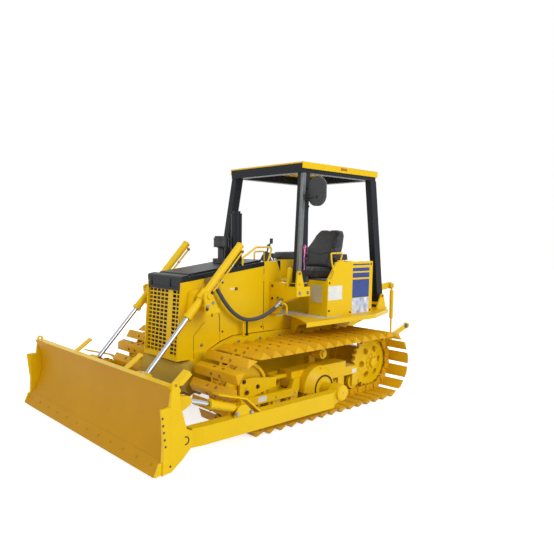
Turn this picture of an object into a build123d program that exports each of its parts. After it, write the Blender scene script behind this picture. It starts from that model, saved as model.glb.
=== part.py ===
"""Small wide-track bulldozer with a straight blade, a canopy and a rear three-point hitch.

Frame: +X forward, +Y to the machine's left, +Z up, millimetres.
Origin: the middle of the machine's box, on the ground.
"""

from build123d import *
from math import hypot, pi, radians, sin, tan
import os

# ---------------------------------------------------------------- driving dimensions
# tracks
WHEELBASE = 1789  # sprocket centre to idler centre
SPROCKET_X = -877
GAUGE = 1400  # between the middles of the two chains
TRACK_AXLE_Z = 360
LINK_PITCH = 135
SHOES_PER_TRACK = 39
LINKS_PER_HALF_TURN = 6.25
SHOE_WIDTH = 610
SHOE_BASE = 124
SHOE_RIDGE = 8
SHOE_HIP = 26  # how far the ridge stops short of each end
RAIL_OUTSIDE = 35  # chain rail above the pitch line, up to the shoe
RAIL_INSIDE = 30
RAIL_THICK = 22
RAIL_SPACING = 90
BUSHING_R = 20

# hull and engine bay
HULL_HALF = 300
HULL_REAR_X = -1010
HULL_FRONT_X = 1180
HULL_BOTTOM_Z = 290
HULL_TOP_Z = 640
GUARD_HALF = 280
GUARD_TOP_X = 1255
GUARD_BOTTOM_X = 1308
GUARD_BOTTOM_Z = 580
GUARD_CAP_Z = 1205
HOOD_FRONT_Z = 1318
HOOD_REAR_Z = 1446
HOOD_THICK = 42
COVER_FRONT_X = 830
COVER_REAR_X = 285
COWL_REAR_X = 120
DASH_REAR_X = -60
PANEL = 8
BODY_GAP = 3

# platform
FLOOR_Z = 905
FLOOR_THICK = 12
FENDER_HALF = 870
FENDER_FRONT_X = 280
PLATFORM_REAR_X = -1230
PLATFORM_REAR_HALF = 690
STEP_FRONT_X = 20
PLATFORM_HALF = 380
RAIL_LEDGE = 40
STEP_MIDDLE = (146, 653)
BOX_FRONT_X = -150
BOX_REAR_X = -860
BOX_INSIDE_Y = 480
BOX_OUTSIDE_Y = 737
BOX_TOP_Z = 1450
TRAY_Z = 1262  # sunk part of the left box's top, behind its front
TRAY_REAR_X = -600
TRAY_PANEL = 22
CONSOLE_FRONT_X = -600
CONSOLE_REAR_X = -960
CONSOLE_OUTSIDE_Y = 575
CONSOLE_TOP_Z = 1423
PEDESTAL_FRONT_X = -230
PEDESTAL_TOP_Z = 1222

# canopy
ROOF_FRONT_X = 45
ROOF_REAR_X = -1132
ROOF_HALF = 554
ROOF_TOP_Z = 2418
ROOF_RIM = 62
POST_WIDTH = 76
POST_DEPTH = 96
FRONT_FOOT = (112, 592, 1250)
REAR_FOOT = (-1158, 592, 985)

# blade and its push frame
TRUNNION_X = 88
TRUNNION_Z = 270
ARM_INSIDE_Y = 1052
ARM_OUTSIDE_Y = 1150
ARM_BOTTOM_Z = 145
ARM_TOP_Z = 288
BLADE_PIN_X = 1847
BLADE_PIN_Z = 242
BLADE_HALF = 1212
BLADE_TOP_Z = 650
BLADE_TOP_X = 1984
BLADE_MID_X = 1930
EDGE_TOP_X = 2030
EDGE_TOP_Z = 138
EDGE_TIP_X = 2102
EDGE_TIP_Z = 36
MOLDBOARD = 12
END_PLATE = 22

# cylinders
LIFT_Y = 430
LIFT_TRUNNION = (1125, 1170)
LIFT_EYE = (1710, 541)
LIFT_BARREL_R = 34
LIFT_ROD_R = 20
TILT_Y = 1101
TILT_FOOT = (1262, 336)
TILT_EYE = (1772, 505)
TILT_BARREL_R = 34
TILT_ROD_R = 17

# rear hitch
HITCH_Y = 365
LINK_Y = 375
LINK_PIVOT = (-1240, 330)
LINK_END = (-2062, 600)
LINK_EYE_R = 40
LINK_BORE_R = 11.35
ROCKER_SHAFT = (-1330, 1105)
ROCKER_END = (-1680, 1128)
LIFT_ROD_FOOT = (-1693, 479)

# running clearances
PIN_CLEARANCE = 0.05
SIDE_CLEARANCE = 6
SKIN = 0.3

TRACK_Y = GAUGE / 2
IDLER_X = SPROCKET_X + WHEELBASE
LINKS_PER_RUN = WHEELBASE / LINK_PITCH
LINK_TURN = 180 / LINKS_PER_HALF_TURN
PITCH_R = LINK_PITCH / (2 * sin(radians(LINK_TURN / 2)))
SHOE_TIP = TRACK_AXLE_Z - PITCH_R
SHOE_INSIDE_Y = TRACK_Y - SHOE_WIDTH / 2
SHOE_OUTSIDE_Y = TRACK_Y + SHOE_WIDTH / 2
FIRST_SHOE = 0.1156  # links from the idler's top to the first shoe


# ---------------------------------------------------------------- shape helpers
def span(x, y, z):
    """A box between the two values of each axis."""
    middle = [(a + b) / 2 for a, b in (x, y, z)]
    size = [abs(b - a) for a, b in (x, y, z)]
    return Pos(*middle) * Box(*size)


def side_plate(points, y0, y1):
    """An outline of (x, z) points, made solid from y0 to y1."""
    outline = Plane.XZ.offset(-y0) * make_face(Polyline(*points, close=True))
    return extrude(outline, -(y1 - y0))


def floor_plate_shape(points, z0, z1):
    """An outline of (x, y) points, made solid from z0 to z1."""
    return Pos(0, 0, z0) * extrude(make_face(Polyline(*points, close=True)), z1 - z0)


def front_plate(points, x0, x1):
    """An outline of (y, z) points, made solid from x0 to x1."""
    outline = Plane.YZ.offset(x0) * make_face(Polyline(*points, close=True))
    return extrude(outline, x1 - x0)


def cross_rod(x, z, r, y0, y1):
    """A cylinder along Y."""
    return Pos(x, (y0 + y1) / 2, z) * Rot(90, 0, 0) * Cylinder(r, abs(y1 - y0))


def rod(start, end, r):
    """A cylinder from one point to another."""
    line = Line(start, end)
    return extrude(Plane(start, z_dir=line % 0) * Circle(r), line.length)


def bar(start, end, width, depth):
    """A rectangular bar from one point to another; width runs along Y."""
    line = Line(start, end)
    return extrude(Plane(start, x_dir=(0, 1, 0), z_dir=line % 0) * Rectangle(width, depth), line.length)


def tube_through(points, bend, r):
    """A round tube along straight runs, with one bend radius at each corner."""
    path = FilletPolyline(*points, radius=bend)
    return sweep(Plane(path @ 0, z_dir=path % 0) * Circle(r), path)


def mirrored(shape):
    return mirror(shape, Plane.XZ)


def both(shape):
    return [shape, mirrored(shape)]


def save(node, *shapes):
    """Write one node, from single shapes or lists of them."""
    solids = []
    for shape in shapes:
        for item in shape if isinstance(shape, list) else [shape]:
            solids += item.solids()
    export_step(Compound(children=solids) if len(solids) > 1 else solids[0], f"parts/{node}.step")


# ---------------------------------------------------------------- tracks
def track_place(link):
    """Place on the pitch line, counted in links from the idler's top towards the rear."""
    link = link % SHOES_PER_TRACK
    rear_turn = LINKS_PER_RUN
    bottom_run = rear_turn + LINKS_PER_HALF_TURN
    front_turn = bottom_run + LINKS_PER_RUN
    if link < rear_turn:
        x, angle = IDLER_X - link * LINK_PITCH, 0
        return Pos(x, TRACK_Y, TRACK_AXLE_Z) * Rot(0, -angle, 0)
    if link < bottom_run:
        return Pos(SPROCKET_X, TRACK_Y, TRACK_AXLE_Z) * Rot(0, -(link - rear_turn) * LINK_TURN, 0)
    if link < front_turn:
        x = SPROCKET_X + (link - bottom_run) * LINK_PITCH
        return Pos(x, TRACK_Y, TRACK_AXLE_Z) * Rot(0, -180, 0)
    return Pos(IDLER_X, TRACK_Y, TRACK_AXLE_Z) * Rot(0, -180 - (link - front_turn) * LINK_TURN, 0)


def shoe():
    """One three-sided shoe with hipped ends, standing on the chain rails."""
    base = Rectangle(SHOE_BASE, SHOE_WIDTH)
    height = SHOE_TIP - RAIL_OUTSIDE
    ridge = Pos(0, 0, height) * Rectangle(SHOE_RIDGE, SHOE_WIDTH - 2 * SHOE_HIP)
    return Pos(0, 0, PITCH_R + RAIL_OUTSIDE) * loft([base, ridge])


def racetrack(r, y0, y1):
    """A belt-shaped disc round both wheels."""
    ends = cross_rod(SPROCKET_X, TRACK_AXLE_Z, r, y0, y1) + cross_rod(IDLER_X, TRACK_AXLE_Z, r, y0, y1)
    return ends + span((SPROCKET_X, IDLER_X), (y0, y1), (TRACK_AXLE_Z - r, TRACK_AXLE_Z + r))


def left_track():
    seat = 3  # how deep a rail sits in a shoe's flat underside
    rails = []
    for side in (-1, 1):
        middle = TRACK_Y + side * RAIL_SPACING / 2
        low, high = middle - RAIL_THICK / 2, middle + RAIL_THICK / 2
        belt = racetrack(PITCH_R + RAIL_OUTSIDE + seat, low, high)
        rails.append(belt - racetrack(PITCH_R - RAIL_INSIDE, low, high))
    one_shoe = shoe()
    shoes = [track_place(FIRST_SHOE + i) * one_shoe for i in range(SHOES_PER_TRACK)]
    bushing = Pos(0, 0, PITCH_R) * Rot(90, 0, 0) * Cylinder(BUSHING_R, RAIL_SPACING)
    bushings = [track_place(FIRST_SHOE + 0.5 + i) * bushing for i in range(SHOES_PER_TRACK)]
    return rails[0].fuse(rails[1], *shoes, *bushings)


# ---------------------------------------------------------------- running gear
SPROCKET_TEETH = 25
SPROCKET_ROOT_R = PITCH_R - BUSHING_R - 2
SPROCKET_TIP_R = PITCH_R + 4
SPROCKET_THICK = 34
SPROCKET_HUB_R = 86
DRIVE_CASE_R = 150
IDLER_R = PITCH_R - RAIL_INSIDE - SKIN
IDLER_WIDTH = 130
ROLLER_R = 78
ROLLER_WIDTH = 130
ROLLER_X = (-560, -335, -110, 115, 340, 565)
CARRIER_X = -79
CARRIER_R = 50
FRAME_INSIDE_Y = 615
FRAME_OUTSIDE_Y = 785
FRAME_REAR_X = -585
FRAME_FRONT_X = 380
FRAME_BOTTOM_Z = 286
FRAME_TOP_Z = 440
HANGER = 18
BONNET_R = 205
BONNET_OUTSIDE_Y = 930
TRUNNION_R = 42


def sprocket():
    disc = cross_rod(0, 0, SPROCKET_ROOT_R, TRACK_Y - SPROCKET_THICK / 2, TRACK_Y + SPROCKET_THICK / 2)
    tooth_root, tooth_tip = 17, 8
    tooth = side_plate(
        [(-tooth_root, SPROCKET_ROOT_R - 8), (tooth_root, SPROCKET_ROOT_R - 8), (tooth_tip, SPROCKET_TIP_R),
         (-tooth_tip, SPROCKET_TIP_R)],
        TRACK_Y - SPROCKET_THICK / 2, TRACK_Y + SPROCKET_THICK / 2)
    first_gap = (1 - (LINKS_PER_RUN - FIRST_SHOE - 0.5) % 1) * LINK_TURN
    step = 360 / SPROCKET_TEETH
    teeth = [Rot(0, -(first_gap + (i + 0.5) * step), 0) * tooth for i in range(SPROCKET_TEETH)]
    window_r, window_circle = 34, 146
    window = cross_rod(0, window_circle, window_r, TRACK_Y - SPROCKET_THICK, TRACK_Y + 70)
    windows = [Rot(0, 35 + i * 60, 0) * window for i in range(6)]
    dish_foot, dish_height = TRACK_Y + SPROCKET_THICK / 2 - 1, 28
    dish = Pos(0, dish_foot, 0) * Rot(-90, 0, 0) * Cone(
        200, SPROCKET_HUB_R + 6, dish_height, align=(Align.CENTER, Align.CENTER, Align.MIN))
    hub = cross_rod(0, 0, SPROCKET_HUB_R, TRACK_Y, TRACK_Y + 52)
    cap = cross_rod(0, 0, SPROCKET_HUB_R * 0.55, TRACK_Y + 52, TRACK_Y + 78)
    return Pos(SPROCKET_X, 0, TRACK_AXLE_Z) * (disc.fuse(*teeth, dish).cut(*windows) + hub + cap)


def final_drive():
    """The round drive case from the hull's side to the sprocket."""
    inner = cross_rod(SPROCKET_X, TRACK_AXLE_Z, DRIVE_CASE_R + 22, HULL_HALF, SHOE_INSIDE_Y - 30)
    outer = cross_rod(SPROCKET_X, TRACK_AXLE_Z, DRIVE_CASE_R, SHOE_INSIDE_Y - 30,
        TRACK_Y - SPROCKET_THICK / 2)
    return inner + outer


def idler():
    half = IDLER_WIDTH / 2
    flange_half = (RAIL_SPACING - RAIL_THICK) / 2 - 4
    flange = cross_rod(0, 0, PITCH_R - BUSHING_R - 3, TRACK_Y - flange_half, TRACK_Y + flange_half)
    rim = cross_rod(0, 0, IDLER_R, TRACK_Y - half, TRACK_Y + half)
    recess = 26
    for side in (-1, 1):
        face = TRACK_Y + side * half
        ring = cross_rod(0, 0, IDLER_R - 28, face, face - side * recess)
        boss = cross_rod(0, 0, 70, face, face - side * recess)
        rim = rim - (ring - boss)
    return Pos(IDLER_X, 0, TRACK_AXLE_Z) * (rim + flange)


YOKE_PLATE = 20
YOKE_INSIDE_Y = TRACK_Y + IDLER_WIDTH / 2 + 3
YOKE_BACK_X = IDLER_X - IDLER_R - 60
YOKE_BRIDGE = 34
GUIDE_FRONT_X = IDLER_X + 105
GUIDE_Z = (222, 294)
GUIDE_WIDTH = 48
ROD_Z = 392


def idler_yoke():
    """Fork round the idler with the tension adjuster's rod, which reaches back to the track frame."""
    low = GUIDE_Z[1] + SKIN
    outline = [(IDLER_X + 92, low + 22), (IDLER_X + 92, 425), (IDLER_X + 60, 462), (IDLER_X - 60, 462),
               (YOKE_BACK_X, 430), (YOKE_BACK_X, 340), (IDLER_X - 60, low), (IDLER_X + 62, low)]
    inside = 2 * TRACK_Y - YOKE_INSIDE_Y
    yoke = side_plate(outline, YOKE_INSIDE_Y, YOKE_INSIDE_Y + YOKE_PLATE)
    yoke += side_plate(outline, inside - YOKE_PLATE, inside)
    bridge_x = YOKE_BACK_X - YOKE_BRIDGE
    yoke += span((bridge_x, YOKE_BACK_X), (inside - YOKE_PLATE, YOKE_INSIDE_Y + YOKE_PLATE), (338, 432))
    half = IDLER_WIDTH / 2
    yoke += cross_rod(IDLER_X, TRACK_AXLE_Z, 34, TRACK_Y + half, YOKE_INSIDE_Y + YOKE_PLATE + 14)
    yoke += cross_rod(IDLER_X, TRACK_AXLE_Z, 34, inside - YOKE_PLATE - 14, TRACK_Y - half)
    yoke += rod((FRAME_FRONT_X, TRACK_Y, ROD_Z), (bridge_x, TRACK_Y, ROD_Z), 24)
    return yoke + rod((bridge_x - 52, TRACK_Y, ROD_Z), (bridge_x, TRACK_Y, ROD_Z), 36)


FRAME_STEP = (-400, 372)  # behind this x the beam is only as high as this z


def track_frame():
    """Box beam with the roller hangers and the two guides that carry the idler's yoke."""
    beam = span((FRAME_REAR_X, FRAME_FRONT_X), (FRAME_INSIDE_Y, FRAME_OUTSIDE_Y),
        (FRAME_BOTTOM_Z, FRAME_TOP_Z))
    beam -= span((FRAME_REAR_X - 1, FRAME_STEP[0]), (FRAME_INSIDE_Y - 1, FRAME_OUTSIDE_Y + 1),
        (FRAME_STEP[1], FRAME_TOP_Z + 1))
    outer = TRACK_Y + IDLER_WIDTH / 2 + 5
    back = TRUNNION_X + BONNET_R + 10
    for low in (outer, 2 * TRACK_Y - outer - GUIDE_WIDTH):
        beam += side_plate(
            [(back, FRAME_BOTTOM_Z + 1), (back + 30, GUIDE_Z[0]), (GUIDE_FRONT_X, GUIDE_Z[0]),
             (GUIDE_FRONT_X, GUIDE_Z[1]), (FRAME_FRONT_X + 30, GUIDE_Z[1]), (FRAME_FRONT_X, FRAME_TOP_Z - 60),
             (back, FRAME_TOP_Z - 60)], low, low + GUIDE_WIDTH)
    roller_z = TRACK_AXLE_Z - PITCH_R + RAIL_INSIDE + ROLLER_R
    for x in ROLLER_X:
        for y in (TRACK_Y - ROLLER_WIDTH / 2 - HANGER, TRACK_Y + ROLLER_WIDTH / 2):
            beam += span((x - 46, x + 46), (y, y + HANGER), (roller_z - 34, FRAME_BOTTOM_Z + 8))
    return beam


def trunnion():
    """Half-round housing on the track frame's outer side, and the shaft for the push arm's rear end."""
    dome = cross_rod(TRUNNION_X, TRUNNION_Z, BONNET_R, FRAME_OUTSIDE_Y, BONNET_OUTSIDE_Y)
    below = span((TRUNNION_X - 300, TRUNNION_X + 300), (FRAME_OUTSIDE_Y, BONNET_OUTSIDE_Y),
        (0, TRUNNION_Z - 30))
    dome = dome - below
    dome = chamfer(dome.edges().filter_by(GeomType.CIRCLE).sort_by(Axis.Y)[-1], 60, 70)
    stem = cross_rod(TRUNNION_X, TRUNNION_Z, 62, BONNET_OUTSIDE_Y - 10, ARM_INSIDE_Y - SIDE_CLEARANCE)
    shaft = cross_rod(TRUNNION_X, TRUNNION_Z, TRUNNION_R, BONNET_OUTSIDE_Y, ARM_OUTSIDE_Y + SIDE_CLEARANCE)
    cap_y = ARM_OUTSIDE_Y + SIDE_CLEARANCE
    return dome + stem + shaft + cross_rod(TRUNNION_X, TRUNNION_Z, 58, cap_y, cap_y + 16)


def track_rollers():
    z = TRACK_AXLE_Z - PITCH_R + RAIL_INSIDE + ROLLER_R + SKIN
    half = ROLLER_WIDTH / 2
    rollers = []
    for x in ROLLER_X:
        barrel = cross_rod(x, z, ROLLER_R, TRACK_Y - half + 8, TRACK_Y + half - 8)
        groove = cross_rod(x, z, ROLLER_R + 1, TRACK_Y - 20, TRACK_Y + 20)
        groove -= cross_rod(x, z, 62, TRACK_Y - 20, TRACK_Y + 20)
        shaft = cross_rod(x, z, 26, TRACK_Y - half, TRACK_Y + half)
        rollers.append(barrel - groove + shaft)
    return rollers


def carrier_roller():
    """The one roller under the top run, on a post bolted to the track frame's inner wall."""
    z = TRACK_AXLE_Z + PITCH_R - RAIL_INSIDE - CARRIER_R - SKIN
    roller = cross_rod(CARRIER_X, z, CARRIER_R, TRACK_Y - 64, TRACK_Y + 64)
    hub = cross_rod(CARRIER_X, z, 30, TRACK_Y + 64, TRACK_Y + 84)
    axle = cross_rod(CARRIER_X, z, 22, FRAME_INSIDE_Y - 20, TRACK_Y)
    post = span((CARRIER_X - 40, CARRIER_X + 40), (FRAME_INSIDE_Y - 24, FRAME_INSIDE_Y),
        (FRAME_TOP_Z - 110, z + 38))
    return roller + hub + axle + post


# ---------------------------------------------------------------- hull and engine bay
CROSS_BEAM_X = ((-420, -300), (400, 520))
RADIATOR_X = (1150, 1212)
HULL_SHELF_X = 1130  # ahead of this the hull's top steps down under the guard
CAP_BACK_X = GUARD_TOP_X - 70
GUARD_WALL = 20
GUARD_SILL = 40
STACK = (387, -30)
STACK_TOP_Z = 1940
PRECLEANER = (510, -120)
HOOD_RIDGE = 16
RAIL_REAR_X = -760
STAY_X = (-700, -60)
BELLY_HALF = 350


def hood_z(x):
    """Height of the hood's side edge, which climbs towards the rear."""
    share = (GUARD_TOP_X - x) / (GUARD_TOP_X - COVER_REAR_X)
    return HOOD_FRONT_Z + (HOOD_REAR_Z - HOOD_FRONT_Z) * min(share, 1)


def main_frame():
    """Closed hull between the tracks, its two cross beams and the side rails under the engine covers."""
    hull = side_plate(
        [(HULL_REAR_X, 380), (HULL_REAR_X + 90, HULL_BOTTOM_Z), (HULL_FRONT_X - 120, HULL_BOTTOM_Z),
         (HULL_FRONT_X, 400), (HULL_FRONT_X, GUARD_BOTTOM_Z), (HULL_SHELF_X, GUARD_BOTTOM_Z),
         (HULL_SHELF_X, HULL_TOP_Z), (HULL_REAR_X, HULL_TOP_Z)], -HULL_HALF, HULL_HALF)
    for low, high in CROSS_BEAM_X:
        hull += span((low, high), (-FRAME_INSIDE_Y, FRAME_INSIDE_Y), (330, 425))
    return hull


def rear_case():
    """Transmission and tank housing that stands behind the engine bay, under the seat platform."""
    half = HULL_HALF - 20
    return span((HULL_REAR_X, COWL_REAR_X), (-half, half), (HULL_TOP_Z, FLOOR_Z - FLOOR_THICK))


def engine_block():
    """Engine and radiator as one plain stepped block."""
    engine = span((COVER_REAR_X + 30, RADIATOR_X[0] - 120), (-215, 215), (HULL_TOP_Z, 1120))
    shroud = span((RADIATOR_X[0] - 121, RADIATOR_X[0]), (-150, 150), (720, 1080))
    half = GUARD_HALF - GUARD_WALL
    return engine + shroud + span(RADIATOR_X, (-half, half), (GUARD_BOTTOM_Z + GUARD_SILL, GUARD_CAP_Z - 10))


def guard_front_x(z):
    """The guard's front face leans back towards its top."""
    share = (z - GUARD_BOTTOM_Z) / (HOOD_FRONT_Z - GUARD_BOTTOM_Z)
    return GUARD_BOTTOM_X + (GUARD_TOP_X - GUARD_BOTTOM_X) * share


def cap_edge(x):
    """Where the nose's side edge meets the guard's wall, at its front end or at its back."""
    z = hood_z(x) - HOOD_THICK
    return min(x, guard_front_x(z)), z


def radiator_guard():
    """Two deep side walls with a sill between them, open at the front for the grille."""
    back = COVER_FRONT_X + BODY_GAP
    wall = side_plate(
        [(guard_front_x(GUARD_BOTTOM_Z), GUARD_BOTTOM_Z), cap_edge(GUARD_TOP_X), cap_edge(CAP_BACK_X),
         (back, hood_z(back) - HOOD_THICK), (back, HULL_TOP_Z + 70), (980, HULL_TOP_Z),
         (HULL_SHELF_X, HULL_TOP_Z), (HULL_SHELF_X, GUARD_BOTTOM_Z)],
        GUARD_HALF - GUARD_WALL, GUARD_HALF)
    sill_z = GUARD_BOTTOM_Z + GUARD_SILL
    sill = side_plate(
        [(guard_front_x(GUARD_BOTTOM_Z), GUARD_BOTTOM_Z), (guard_front_x(sill_z), sill_z),
         (HULL_SHELF_X + 1, sill_z),
         (HULL_SHELF_X + 1, GUARD_BOTTOM_Z)], -GUARD_HALF, GUARD_HALF)
    return wall + mirrored(wall) + sill


def front_grille():
    """Perforated steel sheet between the guard's walls, with one plain upright bar."""
    low, high = GUARD_BOTTOM_Z + GUARD_SILL, GUARD_CAP_Z
    half = GUARD_HALF - GUARD_WALL
    sheet = side_plate(
        [(guard_front_x(low) - 24, low), (guard_front_x(high) - 24, high),
         (guard_front_x(high) - 18, high), (guard_front_x(low) - 18, low)], -half, half)
    rows, columns, bar_column = 16, 8, 2
    pitch_y = 2 * half / columns
    pitch_z = (high - low) / rows
    slots = []
    for column in range(columns):
        if column == bar_column:
            continue
        y = half - (column + 0.5) * pitch_y
        slot_y = (y - 0.41 * pitch_y, y + 0.41 * pitch_y)
        slot = span((CAP_BACK_X, GUARD_BOTTOM_X), slot_y, (-0.34 * pitch_z, 0.34 * pitch_z))
        slots += [Pos(0, 0, low + (row + 0.5) * pitch_z) * slot for row in range(rows)]
    return sheet.cut(*slots)


def hood_cap():
    """Black nose over the grille, with a wide and a narrow recess in its face."""
    half = GUARD_HALF - GUARD_WALL
    front, back = cap_edge(GUARD_TOP_X), cap_edge(CAP_BACK_X)
    cap = side_plate(
        [front, (GUARD_TOP_X, HOOD_FRONT_Z + 4), (GUARD_TOP_X - 14, HOOD_FRONT_Z + 14),
         (CAP_BACK_X, hood_z(CAP_BACK_X) + 14), back], -GUARD_HALF, GUARD_HALF)
    cap += side_plate(
        [(guard_front_x(GUARD_CAP_Z), GUARD_CAP_Z), front, (front[0] - 9, front[1] + 9),
         (back[0], back[1] + 9),
         (CAP_BACK_X, GUARD_CAP_Z)], -half, half)
    for low, high in ((-215, 60), (100, 225)):
        cap -= span((GUARD_TOP_X - 4, GUARD_TOP_X + 40), (low, high), (GUARD_CAP_Z + 26, HOOD_FRONT_Z - 14))
    return cap


def hood_top():
    """Black top sheet with a raised middle, from the nose to the cowl."""
    front, rear = CAP_BACK_X, COVER_REAR_X
    edge = side_plate(
        [(front, hood_z(front) - HOOD_THICK), (front, hood_z(front)), (rear, hood_z(rear)),
         (rear, hood_z(rear) - HOOD_THICK)], -GUARD_HALF - 4, GUARD_HALF + 4)
    ridge_front = front - 46
    middle = side_plate(
        [(front - 30, hood_z(front - 30) - 4), (ridge_front, hood_z(ridge_front) + HOOD_RIDGE),
         (rear, hood_z(rear) + HOOD_RIDGE), (rear, hood_z(rear) - 4)], -GUARD_HALF + 50, GUARD_HALF - 50)
    return edge + middle


def above_hood(shape, ridge=HOOD_RIDGE):
    """What is left of a shape above the hood, whose middle is a ridge higher, and the cowl's top."""
    front, rear = GUARD_TOP_X, COVER_REAR_X
    body = side_plate(
        [(front, hood_z(front) + ridge), (rear, hood_z(rear) + ridge), (rear, HOOD_REAR_Z),
         (DASH_REAR_X, HOOD_REAR_Z), (DASH_REAR_X, HULL_TOP_Z), (front, HULL_TOP_Z)], -GUARD_HALF, GUARD_HALF)
    return shape - body


def engine_side_cover():
    """Lift-off side panel of the engine bay."""
    front, rear = COVER_FRONT_X, COVER_REAR_X + BODY_GAP
    return side_plate(
        [(front, HULL_TOP_Z + 72), (front, hood_z(front) - HOOD_THICK), (rear, hood_z(rear) - HOOD_THICK),
         (rear, HULL_TOP_Z + 112), (front - 150, HULL_TOP_Z + 112)], GUARD_HALF - PANEL, GUARD_HALF)


def side_rail():
    """Ledge along the hull's top edge, with the stays that carry the fender."""
    rail = side_plate(
        [(975, HULL_TOP_Z), (COVER_FRONT_X - 8, HULL_TOP_Z + 68), (COVER_FRONT_X - 152, HULL_TOP_Z + 108),
         (RAIL_REAR_X, HULL_TOP_Z + 108), (RAIL_REAR_X, HULL_TOP_Z)], HULL_HALF - 18, HULL_HALF + RAIL_LEDGE)
    high = FLOOR_Z - FLOOR_THICK
    wall = HULL_HALF + RAIL_LEDGE
    for x in STAY_X:
        rail += front_plate(
            [(wall - 10, HULL_TOP_Z + 20), (wall - 10, high), (FENDER_HALF - 160, high),
             (FENDER_HALF - 160, high - 35),
             (SHOE_INSIDE_Y + 40, 800), (wall + 50, HULL_TOP_Z + 90)], x - 8, x + 8)
    return rail


def cowl():
    """Hollow cowl between the engine bay and the operator: side walls, rear wall and top."""
    low = HULL_TOP_Z + 112
    top = HOOD_REAR_Z
    outline = [(COVER_REAR_X, low), (COVER_REAR_X, top), (COWL_REAR_X + 100, top), (COWL_REAR_X, 1217),
               (COWL_REAR_X, low)]
    outer = side_plate(outline, -GUARD_HALF, GUARD_HALF)
    inner = side_plate(
        [(COVER_REAR_X + 1, low - 1), (COVER_REAR_X + 1, top - PANEL), (COWL_REAR_X + 104, top - PANEL),
         (COWL_REAR_X + PANEL, 1217), (COWL_REAR_X + PANEL, low - 1)], -GUARD_HALF + PANEL,
         GUARD_HALF - PANEL)
    return outer - inner + cowl_cheek() + mirror(cowl_cheek(), Plane.XZ)


def cowl_cheek():
    """Folded plate that carries the cowl's left side on past its slanted wall, beside the dashboard."""
    fold = 44
    top_x, low_x = COWL_REAR_X - 10, COWL_REAR_X - 108
    front_top, front_low = COWL_REAR_X + 100, COWL_REAR_X
    outer = side_plate([(front_top, HOOD_REAR_Z), (top_x, HOOD_REAR_Z), (low_x, 1217), (front_low, 1217)],
        GUARD_HALF - fold, GUARD_HALF)
    inner = side_plate(
        [(front_top + 60, HOOD_REAR_Z - PANEL), (top_x + 5, HOOD_REAR_Z - PANEL), (low_x + 2, 1200),
         (front_low, 1200)], GUARD_HALF - fold - 1, GUARD_HALF - PANEL)
    return outer - inner


WING_OUTSIDE_Y = 660
WING_X = (18, 206)
WING_TOP_Z = 1192
WING_STEP_Z = 1246  # the part inside the post's mount is higher


def cowl_wing():
    """Stout bracket from the cowl's side that carries the canopy's front post."""
    step_y, step_z = mount_inside_y(FRONT_FOOT[1]) - MOUNT_GAP, WING_STEP_Z
    wing = front_plate(
        [(GUARD_HALF, 925), (GUARD_HALF + 70, 925), (GUARD_HALF + 110, 1020), (WING_OUTSIDE_Y, 1120),
         (WING_OUTSIDE_Y, WING_TOP_Z), (step_y, WING_TOP_Z), (step_y, step_z), (GUARD_HALF, step_z)],
        COWL_REAR_X, WING_X[1])
    return wing + span((WING_X[0], COWL_REAR_X), (WING_OUTSIDE_Y - 190, WING_OUTSIDE_Y), (1120, WING_TOP_Z))


def dashboard():
    """Instrument housing behind the cowl's slanted wall."""
    rear, top = DASH_REAR_X, HOOD_REAR_Z
    return side_plate(
        [(COWL_REAR_X + 100, top), (rear, top), (rear, 1330), (rear + 120, 1260), (COWL_REAR_X - 20, 1217),
         (COWL_REAR_X, 1217)], -230, 150)


def belly_guard():
    """Curved plate under the hull's nose."""
    back = HULL_FRONT_X + SKIN
    outer = Plane.XZ.offset(BELLY_HALF) * make_face(
        Polyline((1140, HULL_BOTTOM_Z), (1200, 282)) + ThreePointArc((1200, 282), (1296, 410), (1262, 556)) +
        Polyline((1262, 556), (back, 572), (back, 400), (1140, HULL_BOTTOM_Z)))
    return extrude(outer, -2 * BELLY_HALF)


def exhaust_stack():
    """Upright muffler pipe with a bevelled top, on the hood."""
    x, y = STACK
    seat = hood_z(x) + HOOD_RIDGE
    shoulder = STACK_TOP_Z - 22
    foot = above_hood(Pos(x, y, seat) * Cylinder(62, 40))
    pipe = above_hood(Pos(x, y, (seat + shoulder) / 2 - 15) * Cylinder(55, shoulder - seat + 30))
    top = Pos(x, y, STACK_TOP_Z - 12) * Cylinder(40, 24)
    return foot + pipe + top - Pos(x, y, STACK_TOP_Z) * Cylinder(34, 90)


def air_precleaner():
    """Air intake with a mushroom bowl, ahead of the muffler."""
    x, y = PRECLEANER
    seat = hood_z(x) + HOOD_RIDGE
    base = above_hood(Pos(x, y, seat) * Cylinder(86, 64))
    neck = Pos(x, y, seat + 90) * Cylinder(34, 130)
    shoulder = Pos(x, y, seat + 148) * Cone(34, 76, 22)
    bowl = Pos(x, y, seat + 200) * Cylinder(76, 84)
    lid = Pos(x, y, seat + 250) * Cylinder(66, 16)
    return base + neck + shoulder + bowl + lid


def cowl_handrail():
    """Bent grab rail along the edge of the hood's rear and the cowl."""
    y = GUARD_HALF - 25
    front = COVER_REAR_X + 255
    top = HOOD_REAR_Z + 141
    return above_hood(tube_through(
        [(front, y, hood_z(front) - 12), (front, y, HOOD_REAR_Z + 40), (COVER_REAR_X + 81, y, top),
         (COWL_REAR_X + 37, y, top), (COWL_REAR_X + 96, y, HOOD_REAR_Z - 10)], 24, 9), ridge=SKIN)


def grab_bow():
    """Low bow beside the handrail, from the cowl's top back to the dashboard's."""
    y, low, top = 100, HOOD_REAR_Z - 10, HOOD_REAR_Z + 92
    front, rear = COWL_REAR_X + 138, COWL_REAR_X + 5
    return above_hood(tube_through(
        [(front, y, low), (front, y, top), (rear, y, top + 4), (rear, y, low)], 20, 8))


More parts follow.
